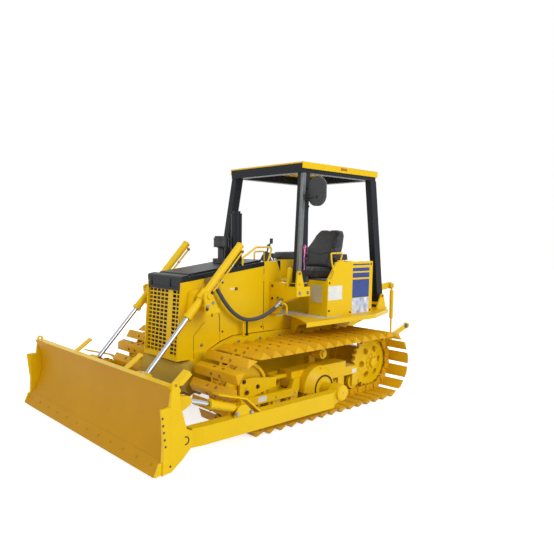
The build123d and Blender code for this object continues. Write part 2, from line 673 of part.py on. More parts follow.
# ---------------------------------------------------------------- platform and operator's place
def platform():
    """Floor between the fenders, with a tongue that reaches the cowl."""
    low = FLOOR_Z - FLOOR_THICK
    tongue = GUARD_HALF
    return span((PLATFORM_REAR_X, STEP_FRONT_X), (-PLATFORM_HALF, PLATFORM_HALF), (low, FLOOR_Z)) + span(
        (STEP_FRONT_X, COWL_REAR_X), (-tongue, tongue), (low, FLOOR_Z))


def fender():
    """Plate over the track: the step in front, a folded outer edge, drawn in at the rear."""
    turn_x = BOX_REAR_X + 100
    corners = [(STEP_FRONT_X, PLATFORM_HALF), STEP_MIDDLE, (FENDER_FRONT_X, FENDER_HALF),
        (turn_x, FENDER_HALF),
               (PLATFORM_REAR_X, PLATFORM_REAR_HALF), (PLATFORM_REAR_X, PLATFORM_HALF)]
    plate = floor_plate_shape(corners, FLOOR_Z - FLOOR_THICK, FLOOR_Z)
    fold = [(PLATFORM_REAR_X, PLATFORM_REAR_HALF - PANEL), (turn_x, FENDER_HALF - PANEL),
            (FENDER_FRONT_X - PANEL, FENDER_HALF - PANEL)]
    return plate + floor_plate_shape(corners[2:5] + fold, FLOOR_Z - 46, FLOOR_Z - FLOOR_THICK + 1)


def side_box():
    """Box beside the seat on the left, sunk behind its front, with a bevelled panel on its outer side."""
    outline = [(BOX_FRONT_X, FLOOR_Z), (BOX_FRONT_X, 1270), (BOX_FRONT_X - 130, BOX_TOP_Z),
        (BOX_REAR_X, BOX_TOP_Z),
               (BOX_REAR_X, FLOOR_Z)]
    box = side_plate(outline, BOX_INSIDE_Y, BOX_OUTSIDE_Y)
    return box - span((TRAY_REAR_X, 0), (0, BOX_OUTSIDE_Y - TRAY_PANEL), (TRAY_Z, BOX_TOP_Z + 1))


def right_console():
    """Lower box on the right, with the console's bevelled yellow tower on its inner side."""
    low = span((BOX_REAR_X, BOX_FRONT_X), (-BOX_OUTSIDE_Y, -BOX_INSIDE_Y), (FLOOR_Z, PEDESTAL_TOP_Z - 10))
    front, top = CONSOLE_FRONT_X, CONSOLE_TOP_Z
    return low + side_plate(
        [(front, FLOOR_Z), (front, top - 57), (front - 53, top), (CONSOLE_REAR_X, top),
         (CONSOLE_REAR_X, FLOOR_Z)],
        -CONSOLE_OUTSIDE_Y, -BOX_INSIDE_Y)


def console_pad():
    """Black padded top of the right-hand console."""
    front, low = CONSOLE_FRONT_X, CONSOLE_TOP_Z + SKIN
    return side_plate(
        [(front + 7, low + 19), (front - 53, low + 90), (CONSOLE_REAR_X, low + 90), (CONSOLE_REAR_X, low),
         (front - 54, low)], -CONSOLE_OUTSIDE_Y - 8, -BOX_INSIDE_Y + 6)


def tray_mat():
    """Black mat in the sunk part of the left box's top."""
    edge = 10
    return span((TRAY_REAR_X + edge, BOX_FRONT_X - edge),
        (BOX_INSIDE_Y + edge, BOX_OUTSIDE_Y - TRAY_PANEL - edge),
                (TRAY_Z + SKIN, TRAY_Z + 8))


def seat_pedestal():
    """Housing under the seat, between the side boxes."""
    return span((BOX_REAR_X, PEDESTAL_FRONT_X), (-BOX_INSIDE_Y, BOX_INSIDE_Y), (FLOOR_Z, PEDESTAL_TOP_Z))


def seat_pan():
    """Black pan that the cushion sits in, on the pedestal and the tank's recess."""
    low = PEDESTAL_TOP_Z + SKIN
    pan = span((SEAT_X - SEAT_REAR + 12, SEAT_X + SEAT_FRONT - 16), (16 - SEAT_HALF, SEAT_HALF - 16),
        (low, PEDESTAL_TOP_Z + PAN_TOP))
    return fillet(pan.edges().filter_by(Axis.Z), 40)


def rear_tank():
    """Tank behind the seat, with a recess in its top for the seat's rear."""
    tank = span((BOX_REAR_X - 150, BOX_REAR_X), (-430, 430), (FLOOR_Z, 1330))
    return tank - span((SEAT_X - SEAT_REAR - 8, 0), (-SEAT_HALF - 12, SEAT_HALF + 12), (PEDESTAL_TOP_Z, 1331))


SEAT_X = -715
SEAT_TOP_Z = 1342
SEAT_HALF = 225
SEAT_BACK_HALF = 235
SEAT_BACK_TOP_Z = 1788
SEAT_FRONT = 195  # cushion's front edge, ahead of SEAT_X
SEAT_REAR = 190
PAN_TOP = 22  # the seat pan's top above the pedestal


def seat_cushion():
    low = PEDESTAL_TOP_Z + PAN_TOP + SKIN
    cushion = span((SEAT_X - SEAT_REAR, SEAT_X + SEAT_FRONT), (-SEAT_HALF, SEAT_HALF), (low, SEAT_TOP_Z))
    return fillet(cushion.edges().filter_by(Axis.Z), 55)


def seat_back():
    """Reclined back, drawn in towards its rounded top."""
    low, waist, top = SEAT_TOP_Z + SKIN, 1570, SEAT_BACK_TOP_Z
    side = side_plate(
        [(SEAT_X - SEAT_REAR, low), (SEAT_X - 70, low), (SEAT_X - 120, waist - 10), (SEAT_X - 290, top),
         (SEAT_X - 370, top), (SEAT_X - 260, waist - 10)], -SEAT_BACK_HALF, SEAT_BACK_HALF)
    shoulder = 0.64 * SEAT_BACK_HALF
    front = front_plate(
        [(-SEAT_BACK_HALF, low), (SEAT_BACK_HALF, low), (SEAT_BACK_HALF, waist), (shoulder + 45, top - 60),
         (shoulder, top - 8), (shoulder - 40, top), (40 - shoulder, top), (-shoulder, top - 8),
         (-shoulder - 45, top - 60), (-SEAT_BACK_HALF, waist)], SEAT_X - 400, SEAT_X)
    return side & front


def armrest():
    """Padded rest, folded down beside the seat back, on a stalk from its side."""
    pad = side_plate([(-715, 1474), (-752, 1512), (-960, 1512), (-976, 1438), (-738, 1438)], 250, 306)
    return pad + span((-935, -835), (SEAT_BACK_HALF + SKIN, 251), (1448, 1502))


def box_handrail():
    """Grab rail outside the left box, from its bevelled edge up and back down onto its top."""
    side, out = BOX_OUTSIDE_Y, BOX_OUTSIDE_Y + 27
    front, top = BOX_FRONT_X - 28, BOX_TOP_Z + 87
    foot_y = side - TRAY_PANEL / 2
    rail = tube_through(
        [(front - 4, side, 1294), (front - 4, out, 1294), (front - 36, out, 1338),
         (front + 8, out, BOX_TOP_Z),
         (front + 6, out - 14, top), (front - 174, out - 24, top + 2), (front - 167, foot_y, BOX_TOP_Z + 4)],
         16, 8.5)
    return rail + span((front - 207, front - 127), (side - TRAY_PANEL, side), (BOX_TOP_Z, BOX_TOP_Z + 14))


def lever(foot, lean, length):
    """Stick with a rubber boot and a round knob; it leans rearward by lean degrees."""
    place = Pos(*foot) * Rot(0, -lean, 0)
    level = (Align.CENTER, Align.CENTER, Align.MIN)
    boot = place * Pos(0, 0, -20) * Cone(46, 18, 74, align=level)
    stick = place * Cylinder(8, length, align=level)
    return boot + stick + place * Pos(0, 0, length + 8) * Sphere(22)


def levers():
    """Steering lever on the dashboard, levers on both sides of the seat and the blade lever."""
    x, z = DASH_REAR_X + 70, HOOD_REAR_Z
    steering = Pos(x, 0, z + 46) * Cone(66, 16, 92) + rod((x - 8, 0, z + 60), (x - 41, 0, z + 166), 8)
    steering += rod((x - 41, 0, z + 160), (x - 74, 0, z + 180), 8)
    steering += rod((x - 74, 0, z + 172), (x - 75, 0, z + 227), 17)
    top = PEDESTAL_TOP_Z
    pedestal = span((-500, 0), (-BOX_INSIDE_Y, BOX_INSIDE_Y), (top - 60, top))
    sides = [lever((-300, y, top), -6, 230) - pedestal for y in (-300, 300)]
    x, y, z = CONSOLE_FRONT_X, -BOX_INSIDE_Y - 22, CONSOLE_TOP_Z
    blade_lever = rod((x - 10, y, z - 71), (x + 55, y, z + 32), 8) - right_console()
    blade_lever += rod((x + 55, y, z + 27), (x + 55, y, z + 74), 18)
    return [steering, blade_lever] + sides


def pedals():
    steps = []
    for y in (-190, -20, 150):
        arm = span((-40, -16), (y - 12, y + 12), (FLOOR_Z, FLOOR_Z + 110))
        pad = Pos(-34, y, FLOOR_Z + 128) * Rot(0, -50, 0) * Box(90, 80, 12)
        steps.append(arm + pad)
    return steps


# ---------------------------------------------------------------- canopy
def post(foot, head, width, depth):
    """Rectangular post between two level ends."""
    low = Pos(*foot) * Rectangle(depth, width)
    high = Pos(*head) * Rectangle(depth, width)
    return loft([low, high])


POST_HEAD_Y = ROOF_HALF - 42
BEAM_Z = ROOF_TOP_Z - ROOF_RIM
EYE_PLATE = 20
FRONT_EYE = (53, 92)  # lifting eye ahead of and above the post's foot
REAR_EYE = (0, 66)
EYE_BORE_R = 17
MOUNT_GAP = 4


def mount_inside_y(y):
    """Inner side of the mount of a post that stands at y."""
    return y - POST_WIDTH / 2 - 20 - EYE_PLATE - MOUNT_GAP


def front_post():
    return post(FRONT_FOOT, (ROOF_FRONT_X - 62, POST_HEAD_Y, BEAM_Z - 40), POST_WIDTH, POST_DEPTH)


def canopy_posts():
    rear = post(REAR_FOOT, (ROOF_REAR_X + 66, POST_HEAD_Y, BEAM_Z - 40), POST_WIDTH, POST_DEPTH)
    return both(front_post()) + both(rear)


def canopy_beams():
    """The frame under the roof: front, rear and side beams."""
    z = (BEAM_Z - 40, ROOF_TOP_Z - 14)
    front, rear, half = ROOF_FRONT_X - 2, ROOF_REAR_X + 20, ROOF_HALF - 12
    width = 84
    outer = span((rear, front), (-half, half), z)
    return outer - span((rear + width, front - width), (-half + width, half - width), (z[0] - 1, z[1] + 1))


def canopy_roof():
    """Roof sheet with a folded rim on its sides and back; the front beam stands under its front edge."""
    sheet = span((ROOF_REAR_X, ROOF_FRONT_X), (-ROOF_HALF, ROOF_HALF), (BEAM_Z, ROOF_TOP_Z))
    half = ROOF_HALF - PANEL
    inside = (BEAM_Z - 1, ROOF_TOP_Z - 14)
    return sheet - span((ROOF_REAR_X + PANEL, ROOF_FRONT_X + 1), (-half, half), inside)


def canopy_mounts():
    """Brackets that clamp the posts' feet between two ears; the outer ear has a lifting eye."""
    brackets = []
    for foot, base_z, eye in ((FRONT_FOOT, WING_TOP_Z, FRONT_EYE), (REAR_FOOT, FLOOR_Z, REAR_EYE)):
        x, y, z = foot
        ear_x, eye_z, ear_r = x + eye[0], z + eye[1], 27
        outer_y, inner_y = y + POST_WIDTH / 2 + 8, mount_inside_y(y) + MOUNT_GAP
        low = base_z + 22
        bracket = span((x - 90, x + 94), (mount_inside_y(y), outer_y + EYE_PLATE), (base_z, low))
        bracket += span((x - 62, x + 62), (inner_y + 1, outer_y + 1), (low - 1, z))
        for ear_y, top_z in ((outer_y, eye_z), (inner_y, eye_z + 28)):
            bracket += side_plate(
                [(ear_x - 66, low - 1), (x + 94, low - 1), (ear_x + ear_r, top_z), (ear_x - ear_r, top_z)],
                ear_y, ear_y + EYE_PLATE)
            bracket += cross_rod(ear_x, top_z, ear_r, ear_y, ear_y + EYE_PLATE)
        brackets += both(bracket - cross_rod(ear_x, eye_z, EYE_BORE_R, outer_y - 1, outer_y + EYE_PLATE + 1))
    return brackets


def mirror_set():
    """Round-cornered rear view mirror on a bracket from the left front post."""
    x, y, z = -20, 700, 2130
    clamp_z = 2078
    head_x, head_z = ROOF_FRONT_X - 62, BEAM_Z - 40
    share = (clamp_z - FRONT_FOOT[2]) / (head_z - FRONT_FOOT[2])
    post_x = FRONT_FOOT[0] + (head_x - FRONT_FOOT[0]) * share
    post_y = FRONT_FOOT[1] + (POST_HEAD_Y - FRONT_FOOT[1]) * share + POST_WIDTH / 2
    glass = Pos(x, y, z) * Rot(0, 90, 0) * extrude(RectangleRounded(280, 210, 95), 26)
    arm = rod((x + 20, y, clamp_z), (post_x + 9, y, clamp_z), 9)
    arm += rod((post_x, y + 9, clamp_z), (post_x, post_y + 8, clamp_z), 9)
    clamp = span((post_x - 36, post_x + 36), (post_y - 6, post_y + 20), (clamp_z - 28, clamp_z + 28))
    return glass + arm + (clamp - front_post())


# ---------------------------------------------------------------- push frame and blade
def push_arm():
    """Box-section arm outside the track, drawn in at the front to the blade's pin."""
    rear_x, front_x = TRUNNION_X + 95, 1740
    arm = span((rear_x, front_x), (ARM_INSIDE_Y, ARM_OUTSIDE_Y), (ARM_BOTTOM_Z, ARM_TOP_Z))
    arm += side_plate(
        [(TRUNNION_X, TRUNNION_Z - 66), (rear_x + 1, ARM_BOTTOM_Z + 20), (rear_x + 1, ARM_TOP_Z),
         (TRUNNION_X, TRUNNION_Z + 72)], ARM_INSIDE_Y + 6, ARM_OUTSIDE_Y - 6)
    arm += cross_rod(TRUNNION_X, TRUNNION_Z, 76, ARM_INSIDE_Y, ARM_OUTSIDE_Y)
    arm += side_plate(
        [(front_x, ARM_BOTTOM_Z + 12), (BLADE_PIN_X, BLADE_PIN_Z - TONGUE_R),
         (BLADE_PIN_X, BLADE_PIN_Z + TONGUE_R),
         (front_x, ARM_TOP_Z - 12)], *TONGUE_Y)
    arm += cross_rod(BLADE_PIN_X, BLADE_PIN_Z, TONGUE_R, *TONGUE_Y)
    outer = ARM_OUTSIDE_Y + 1
    corner = [(front_x + 1, outer), (front_x + 1, TONGUE_Y[1]), (front_x - 100, outer)]
    arm -= floor_plate_shape(corner, 0, 400)
    arm -= cross_rod(TRUNNION_X, TRUNNION_Z, TRUNNION_R + PIN_CLEARANCE, 1000, 1200)
    return arm - cross_rod(BLADE_PIN_X, BLADE_PIN_Z, BLADE_PIN_R + PIN_CLEARANCE, 1000, 1200)


TONGUE_Y = (1080, 1134)
TONGUE_R = 46
BLADE_PIN_R = 24
LIFT_EAR = 18
LUG = 24
EAR_BORE_R = 13
TILT_EAR_Y = 30
TILT_EAR = 14
TILT_PIN_R = 15
TILT_EYE_HALF = 20


def tilt_bracket():
    """Ears on the push arm for the tilt cylinder's foot, and the sloping plate that shields it."""
    x, z = TILT_FOOT
    outline = [(x - 120, ARM_TOP_Z), (x + 90, ARM_TOP_Z), (x + 52, z + 26), (x + 18, z + 44),
        (x - 24, z + 42)]
    pieces = []
    for y in (TILT_Y - TILT_EAR_Y - TILT_EAR, TILT_Y + TILT_EAR_Y):
        ear = side_plate(outline, y, y + TILT_EAR)
        pieces.append(ear - cross_rod(x, z, TILT_PIN_R + PIN_CLEARANCE, y - 1, y + TILT_EAR + 1))
    pieces.append(side_plate(
        [(x - 190, ARM_TOP_Z), (x - 172, ARM_TOP_Z), (x - 30, z + 78), (x + 240, z + 158), (x + 240, z + 170),
         (x - 38, z + 88)], TILT_Y - 48, TILT_Y + 48))
    return pieces


def blade_section(offset):
    """Arc of the moldboard's side view, moved back by an offset: top, middle and lower end."""
    chord_x, chord_z = EDGE_TOP_X - BLADE_TOP_X, EDGE_TOP_Z - BLADE_TOP_Z
    length = hypot(chord_x, chord_z)
    back_x, back_z = chord_z / length * offset, -chord_x / length * offset
    middle_z = (BLADE_TOP_Z + EDGE_TOP_Z) / 2
    return [(BLADE_TOP_X + back_x, BLADE_TOP_Z + back_z), (BLADE_MID_X + back_x, middle_z + back_z),
            (EDGE_TOP_X + back_x, EDGE_TOP_Z + back_z)]


def moldboard():
    front, back = blade_section(0), blade_section(MOLDBOARD)
    edge = ThreePointArc(*front) + Line(front[2], back[2])
    edge += ThreePointArc(*back[::-1]) + Line(back[0], front[0])
    half = BLADE_HALF - END_PLATE
    return extrude(Plane.XZ.offset(-half) * make_face(edge), 2 * half)


def cutting_edge():
    """Flat wear plate along the blade's foot."""
    top, foot = blade_section(0)[2], blade_section(MOLDBOARD)[2]
    half = BLADE_HALF - END_PLATE
    return side_plate([top, (EDGE_TIP_X, EDGE_TIP_Z), (EDGE_TIP_X - 14, EDGE_TIP_Z), foot], -half, half)


def behind_blade(shape):
    """What is left of a shape behind the moldboard's back."""
    back = blade_section(MOLDBOARD + SKIN)
    top, foot = back[0], back[2]
    outline = ThreePointArc(*back) + Polyline(
        foot, (foot[0] + 30, foot[1] - 200), (foot[0] + 400, foot[1] - 200), (top[0] + 400, top[1] + 300),
        (top[0] - 14, top[1] + 300), top)
    return shape - extrude(Plane.XZ.offset(-BLADE_HALF) * make_face(outline), 2 * BLADE_HALF)


EAR_CENTRE = (1928, 656)
RIB_TOP_Z = 642
LUG_Y = (TONGUE_Y[0] - SIDE_CLEARANCE - LUG, TONGUE_Y[0] - SIDE_CLEARANCE)


def end_plate():
    """Blade's end: the ear on top, the side bit in front and the push arm's lug and pin behind."""
    ear_x, ear_z = EAR_CENTRE
    low, high = BLADE_HALF - END_PLATE, BLADE_HALF
    plate = side_plate(
        [(ear_x - 26, ear_z), (1875, 462), (1837, 330), (1790, 300), (1790, 194), (1876, 110), (1968, 44),
         (2046, 40),
         (2031, 268), (2040, 500), (1975, 512), (ear_x + 26, ear_z)], low, high)
    plate += cross_rod(ear_x, ear_z, 26, low, high)
    plate -= cross_rod(ear_x, ear_z, EAR_BORE_R, low - 1, high + 1)
    lug_x = BLADE_PIN_X - 52
    plate += side_plate([(1918, 330), (lug_x, 300), (lug_x, 190), (1918, 150)], *LUG_Y)
    plate += span((1906, 1918), (LUG_Y[0], low), (160, 330))
    plate += cross_rod(BLADE_PIN_X, BLADE_PIN_Z, BLADE_PIN_R, LUG_Y[0], low)
    side_bit = [(2046, 40), (2034, 268), (2058, 512), (1975, 512), (1985, 250), (1998, 60)]
    return plate + side_plate(side_bit, high, high + 12)


def ear_pair(outline, y, half, thick):
    """Two ears on the blade's back, either side of a cylinder's rod eye."""
    gap = half + SIDE_CLEARANCE
    return [behind_blade(side_plate(outline, low, low + thick)) for low in (y - gap - thick, y + gap)]


def blade_ears():
    """Ears for the lift cylinders, and for the tilt cylinders near the blade's ends."""
    x, z = LIFT_EYE
    lift = [(1960, 350), (1960, 600), (x + 10, z + 40), (x - 36, z + 14), (x - 34, z - 34), (x + 20, z - 60)]
    x, z = TILT_EYE
    tilt = [(1960, 380), (1960, 570), (x - 6, z + 34), (x - 32, z), (x - 12, z - 36)]
    return ear_pair(lift, LIFT_Y, LIFT_EYE_HALF, LIFT_EAR) + ear_pair(tilt, TILT_Y, TILT_EYE_HALF, TILT_EAR)


def upper_rib():
    """Folded rib along the moldboard's top, let in for the cylinders' ears, with three bars on it."""
    half = BLADE_HALF - END_PLATE
    outline = [(1990, RIB_TOP_Z), (1890, RIB_TOP_Z), (1868, 606), (1940, 520)]
    rib = behind_blade(side_plate(outline, -half, half))
    lift_gap = LIFT_EYE_HALF + SIDE_CLEARANCE + LIFT_EAR + 1
    tilt_gap = TILT_EYE_HALF + SIDE_CLEARANCE + TILT_EAR + 7
    for y in (-LIFT_Y, LIFT_Y):
        rib -= span((1800, 2000), (y - lift_gap, y + lift_gap), (400, 606))
    for y in (-TILT_Y, TILT_Y):
        rib -= span((1800, 2000), (y - tilt_gap, y + tilt_gap), (400, 585))
    side = LIFT_Y + 20
    bars = bar((1896, side, 636), (1755, side, 735), 62, 14)
    bars += bar((1896, -side, 636), (1755, -side, 735), 62, 14)
    bars += bar((1890, BLADE_HALF - 60, 636), (1786, BLADE_HALF - 60, 722), 70, 40)
    bars = behind_blade(bars) - span((1700, 2000), (-BLADE_HALF, BLADE_HALF), (560, RIB_TOP_Z))
    return [piece for piece in (rib + bars).solids()]


def lower_rib():
    half = LUG_Y[0] - 40
    return behind_blade(side_plate([(1960, 330), (1868, 300), (1868, 210), (2000, 180)], -half, half))


# ---------------------------------------------------------------- cylinders
def cylinder_place(foot, eye, y):
    """Plane at the foot whose normal runs to the eye."""
    return Plane((foot[0], y, foot[1]), x_dir=(0, 1, 0), z_dir=(eye[0] - foot[0], 0, eye[1] - foot[1]))


def on_line(place, r, start, end):
    """A cylinder on a place's axis, between two distances from it."""
    return place * Pos(0, 0, (start + end) / 2) * Cylinder(r, end - start)


LIFT_REACH = (-606, 256)
LIFT_ROD_INSIDE = 200  # how far the rod reaches behind the gland at rest
LIFT_EYE_R = 38
LIFT_EYE_HALF = 26
LIFT_PIN_R = 24
LIFT_PIN_Y = 96
LIFT_CLOSED = 640


def lift_barrel():
    """Barrel with its trunnion band, pins and side pipe."""
    place = cylinder_place(LIFT_TRUNNION, LIFT_EYE, LIFT_Y)
    start, gland = LIFT_REACH
    barrel = on_line(place, LIFT_BARREL_R, start, gland) + on_line(place, LIFT_BARREL_R + 14, -48, 48)
    barrel += on_line(place, LIFT_BARREL_R + 5, gland - 26, gland)
    x, z = LIFT_TRUNNION
    barrel += cross_rod(x, z, LIFT_PIN_R, LIFT_Y - LIFT_PIN_Y, LIFT_Y + LIFT_PIN_Y)
    return barrel - on_line(place, LIFT_ROD_R + PIN_CLEARANCE, gland - LIFT_CLOSED, gland + 1)


def lift_rod():
    place = cylinder_place(LIFT_TRUNNION, LIFT_EYE, LIFT_Y)
    length = hypot(LIFT_EYE[0] - LIFT_TRUNNION[0], LIFT_EYE[1] - LIFT_TRUNNION[1])
    shaft = on_line(place, LIFT_ROD_R, LIFT_REACH[1] - LIFT_ROD_INSIDE, length - LIFT_EYE_R + 6)
    eye = cross_rod(*LIFT_EYE, LIFT_EYE_R, LIFT_Y - LIFT_EYE_HALF, LIFT_Y + LIFT_EYE_HALF)
    return shaft + eye - cross_rod(*LIFT_EYE, 18, LIFT_Y - 60, LIFT_Y + 60)


def cylinder_bracket():
    """Fork on the guard's side that carries the lift cylinder's trunnion pins."""
    x, z = LIFT_TRUNNION
    near, far = LIFT_Y - 60, LIFT_Y + 60
    bracket = side_plate(
        [(x - 120, z - 150), (x + 90, z - 170), (x + 62, z + 20), (x + 20, z + 46), (x - 50, z + 40)],
        GUARD_HALF, near)
    bracket += side_plate(
        [(x - 110, z - 150), (x + 30, z - 156), (x + 50, z + 20), (x + 20, z + 40), (x - 30, z + 36)], far,
         far + 24)
    bracket += side_plate(
        [(x - 120, z - 150), (x - 18, z - 152), (x - 30, z - 116), (x - 114, z - 112)], GUARD_HALF, far + 24)
    return bracket - cross_rod(x, z, LIFT_PIN_R + PIN_CLEARANCE, LIFT_Y - LIFT_PIN_Y - 1, far + 30)


TILT_GLAND = 318
TILT_ROD_INSIDE = 120
TILT_CLOSED = 190


def tilt_barrel():
    place = cylinder_place(TILT_FOOT, TILT_EYE, TILT_Y)
    x, z = TILT_FOOT
    barrel = on_line(place, TILT_BARREL_R, 74, TILT_GLAND) + on_line(place, 24, 10, 75)
    barrel += on_line(place, TILT_BARREL_R + 5, TILT_GLAND - 22, TILT_GLAND)
    half = TILT_EAR_Y - SIDE_CLEARANCE
    barrel += cross_rod(x, z, 30, TILT_Y - half, TILT_Y + half)
    half = TILT_EAR_Y + TILT_EAR
    barrel += cross_rod(x, z, TILT_PIN_R, TILT_Y - half, TILT_Y + half)
    return barrel - on_line(place, TILT_ROD_R + PIN_CLEARANCE, TILT_GLAND - TILT_CLOSED, TILT_GLAND + 1)


def tilt_rod():
    place = cylinder_place(TILT_FOOT, TILT_EYE, TILT_Y)
    length = hypot(TILT_EYE[0] - TILT_FOOT[0], TILT_EYE[1] - TILT_FOOT[1])
    shaft = on_line(place, TILT_ROD_R, TILT_GLAND - TILT_ROD_INSIDE, length - 26)
    eye = cross_rod(*TILT_EYE, 30, TILT_Y - TILT_EYE_HALF, TILT_Y + TILT_EYE_HALF)
    return shaft + eye - cross_rod(*TILT_EYE, 13, TILT_Y - 60, TILT_Y + 60)


# ---------------------------------------------------------------- rear hitch
ROCKER_SHAFT_R = 34
ROCKER_BEARING_Y = (120, 175)
ROD_TOP_PIN_R = 15
ROD_Y = 406
ROD_EYE_HALF = 11
LINK_PIN_R = 18


def hitch_frame():
    """Rear plate with the rocker shaft's bearings, the links' cross shaft, a clevis and two stands."""
    x, z = ROCKER_SHAFT
    pivot_x, pivot_z = LINK_PIVOT
    back, floor_low = HULL_REAR_X, FLOOR_Z - FLOOR_THICK
    face = back - 24
    platform_x = PLATFORM_REAR_X - 4
    bearing = [(face, floor_low - 70), (platform_x, floor_low - 70), (x - 46, z - 60), (x - 46, z + 20),
               (x - 16, z + 52), (x + 24, z + 52), (platform_x, FLOOR_Z + 40), (platform_x, floor_low),
               (face, floor_low)]
    link_arm = [(face, pivot_z - 20), (pivot_x - 10, pivot_z - 46), (pivot_x - 46, pivot_z),
        (pivot_x - 10, pivot_z + 46),
                (face, pivot_z + 150)]
    clevis = [(face, 640), (face - 126, 660), (face - 160, 700), (face - 126, 740), (face, 780)]
    stand = [(face, 660), (PLATFORM_REAR_X + 20, 800), (PLATFORM_REAR_X + 20, floor_low), (face, floor_low)]
    frame = span((face, back), (-HULL_HALF + 30, HULL_HALF - 30), (HULL_BOTTOM_Z + 40, floor_low))
    for outline, near, far in ((bearing, *ROCKER_BEARING_Y), (link_arm, 180, 215), (clevis, 24, 44),
        (stand, 210, 250)):
        plate = side_plate(outline, near, far)
        frame += plate + mirrored(plate)
    edge = PLATFORM_REAR_HALF - 30
    wing = front_plate([(249, 760), (249, floor_low), (edge, floor_low), (edge, FLOOR_Z - 60)], -1168, -1148)
    shaft = cross_rod(pivot_x, pivot_z, 30, 0, LINK_Y - 15 - SIDE_CLEARANCE)
    shaft += cross_rod(pivot_x, pivot_z, LINK_PIN_R, 0, LINK_Y + 30)
    frame += wing + mirrored(wing) + shaft + mirrored(shaft)
    frame -= cross_rod(x, z, ROCKER_SHAFT_R + PIN_CLEARANCE, -300, 300)
    return frame - cross_rod(TOP_LINK[0], TOP_LINK[1], TOP_LINK_BORE_R, -60, 60)


TOP_LINK = (HULL_REAR_X - 150, 700)
TOP_LINK_BORE_R = 9.75


def rocker():
    """Cross shaft with the two lift arms and the pins for the lift rods."""
    x, z = ROCKER_SHAFT
    end_x, end_z = ROCKER_END
    shaft = cross_rod(x, z, ROCKER_SHAFT_R, -HITCH_Y - 30, HITCH_Y + 30)
    for side in (-1, 1):
        y = side * HITCH_Y
        shaft += side_plate(
            [(x, z - 46), (x, z + 46), (end_x, end_z + 32), (end_x, end_z - 32)], y - 20, y + 20)
        shaft += cross_rod(end_x, end_z, 40, y - 24, y + 24) + cross_rod(x, z, 54, y - 30, y + 30)
        shaft += cross_rod(end_x, end_z, ROD_TOP_PIN_R, y, side * (ROD_Y + 18))
    return shaft


def hitch_rod():
    """Lift rod from the rocker's pin down to the lower link, with its turnbuckle sleeve."""
    top_x, top_z = ROCKER_END
    foot_x, foot_z = LIFT_ROD_FOOT
    place = cylinder_place((foot_x, foot_z), (top_x, top_z), ROD_Y)
    length = hypot(top_x - foot_x, top_z - foot_z)
    shape = on_line(place, 12, 16, length - 24) + on_line(place, 24, 250, length - 60)
    shape += cross_rod(top_x, top_z, 30, ROD_Y - 13, ROD_Y + 13)
    shape += cross_rod(foot_x, foot_z, 26, ROD_Y - ROD_EYE_HALF, ROD_Y + ROD_EYE_HALF)
    return shape - cross_rod(top_x, top_z, ROD_TOP_PIN_R + PIN_CLEARANCE, ROD_Y - 20, ROD_Y + 20)


def lower_link():
    """Flat lower link with an eye at each end and a boss where the lift rod takes hold."""
    x, z = LINK_PIVOT
    end_x, end_z = LINK_END
    foot_x, foot_z = LIFT_ROD_FOOT
    y = LINK_Y
    link = bar((x, y, z), (end_x, y, end_z), 20, 64)
    link += cross_rod(x, z, 38, y - 15, y + 15) + cross_rod(end_x, end_z, LINK_EYE_R, y - 20, y + 20)
    link += cross_rod(foot_x, foot_z, 24, y, ROD_Y - ROD_EYE_HALF - 4)
    link -= cross_rod(x, z, LINK_PIN_R + PIN_CLEARANCE, y - 40, y + 40)
    return link - cross_rod(end_x, end_z, LINK_BORE_R, y - 40, y + 40)


# ---------------------------------------------------------------- hoses
HOSE_R = 19
HOSE_ROUTE = [(948, 344, 1262), (890, 346, 1172), (812, 350, 1060), (718, 354, 966), (606, 358, 904),
              (492, 372, 896), (388, 396, 924), (300, 422, 976), (236, 441, 1032)]


def corner_radii(points):
    """The largest tangent arc at each corner: 0.45 of the shorter run over the tangent of half the turn."""
    radii = []
    for before, corner, after in zip(points, points[1:], points[2:]):
        first, second = Vector(*corner) - Vector(*before), Vector(*after) - Vector(*corner)
        turn = radians(first.get_angle(second))
        radii.append(0.45 * min(first.length, second.length) / tan(turn / 2))
    return radii


def lift_hose():
    """Sleeved oil hose that hangs from the lift cylinder's bracket to the wing."""
    radii = corner_radii(HOSE_ROUTE)
    path = FilletPolyline(*HOSE_ROUTE, radius=radii)
    hose = sweep(Plane(path @ 0, z_dir=path % 0) * Circle(HOSE_R), path)
    print("hose length", round(path.length), "radii", [round(r) for r in radii],
          "volume ratio", round(hose.volume / (path.length * pi * HOSE_R ** 2), 4))
    return hose


def hose_collar(end, inner):
    """Collar beyond the hose's end, in line with its last run."""
    outward = (Vector(*end) - Vector(*inner)).normalized()
    return extrude(Plane(end, z_dir=outward) * Circle(HOSE_R + 7), 44)


def hose_glands():
    """End fittings: a block on the guard's wall and a block on the wing's front."""
    upper = hose_collar(HOSE_ROUTE[0], HOSE_ROUTE[1]) + span((956, 1012), (GUARD_HALF, 352), (1262, 1306))
    x, y, z = HOSE_ROUTE[-1]
    lower = hose_collar(HOSE_ROUTE[-1], HOSE_ROUTE[-2]) - span((0, WING_X[1]), (0, 1000), (0, 1400))
    lower += span((WING_X[1], WING_X[1] + 14), (y - 34, y + 34), (z - 20, z + 60))
    return [upper, lower]


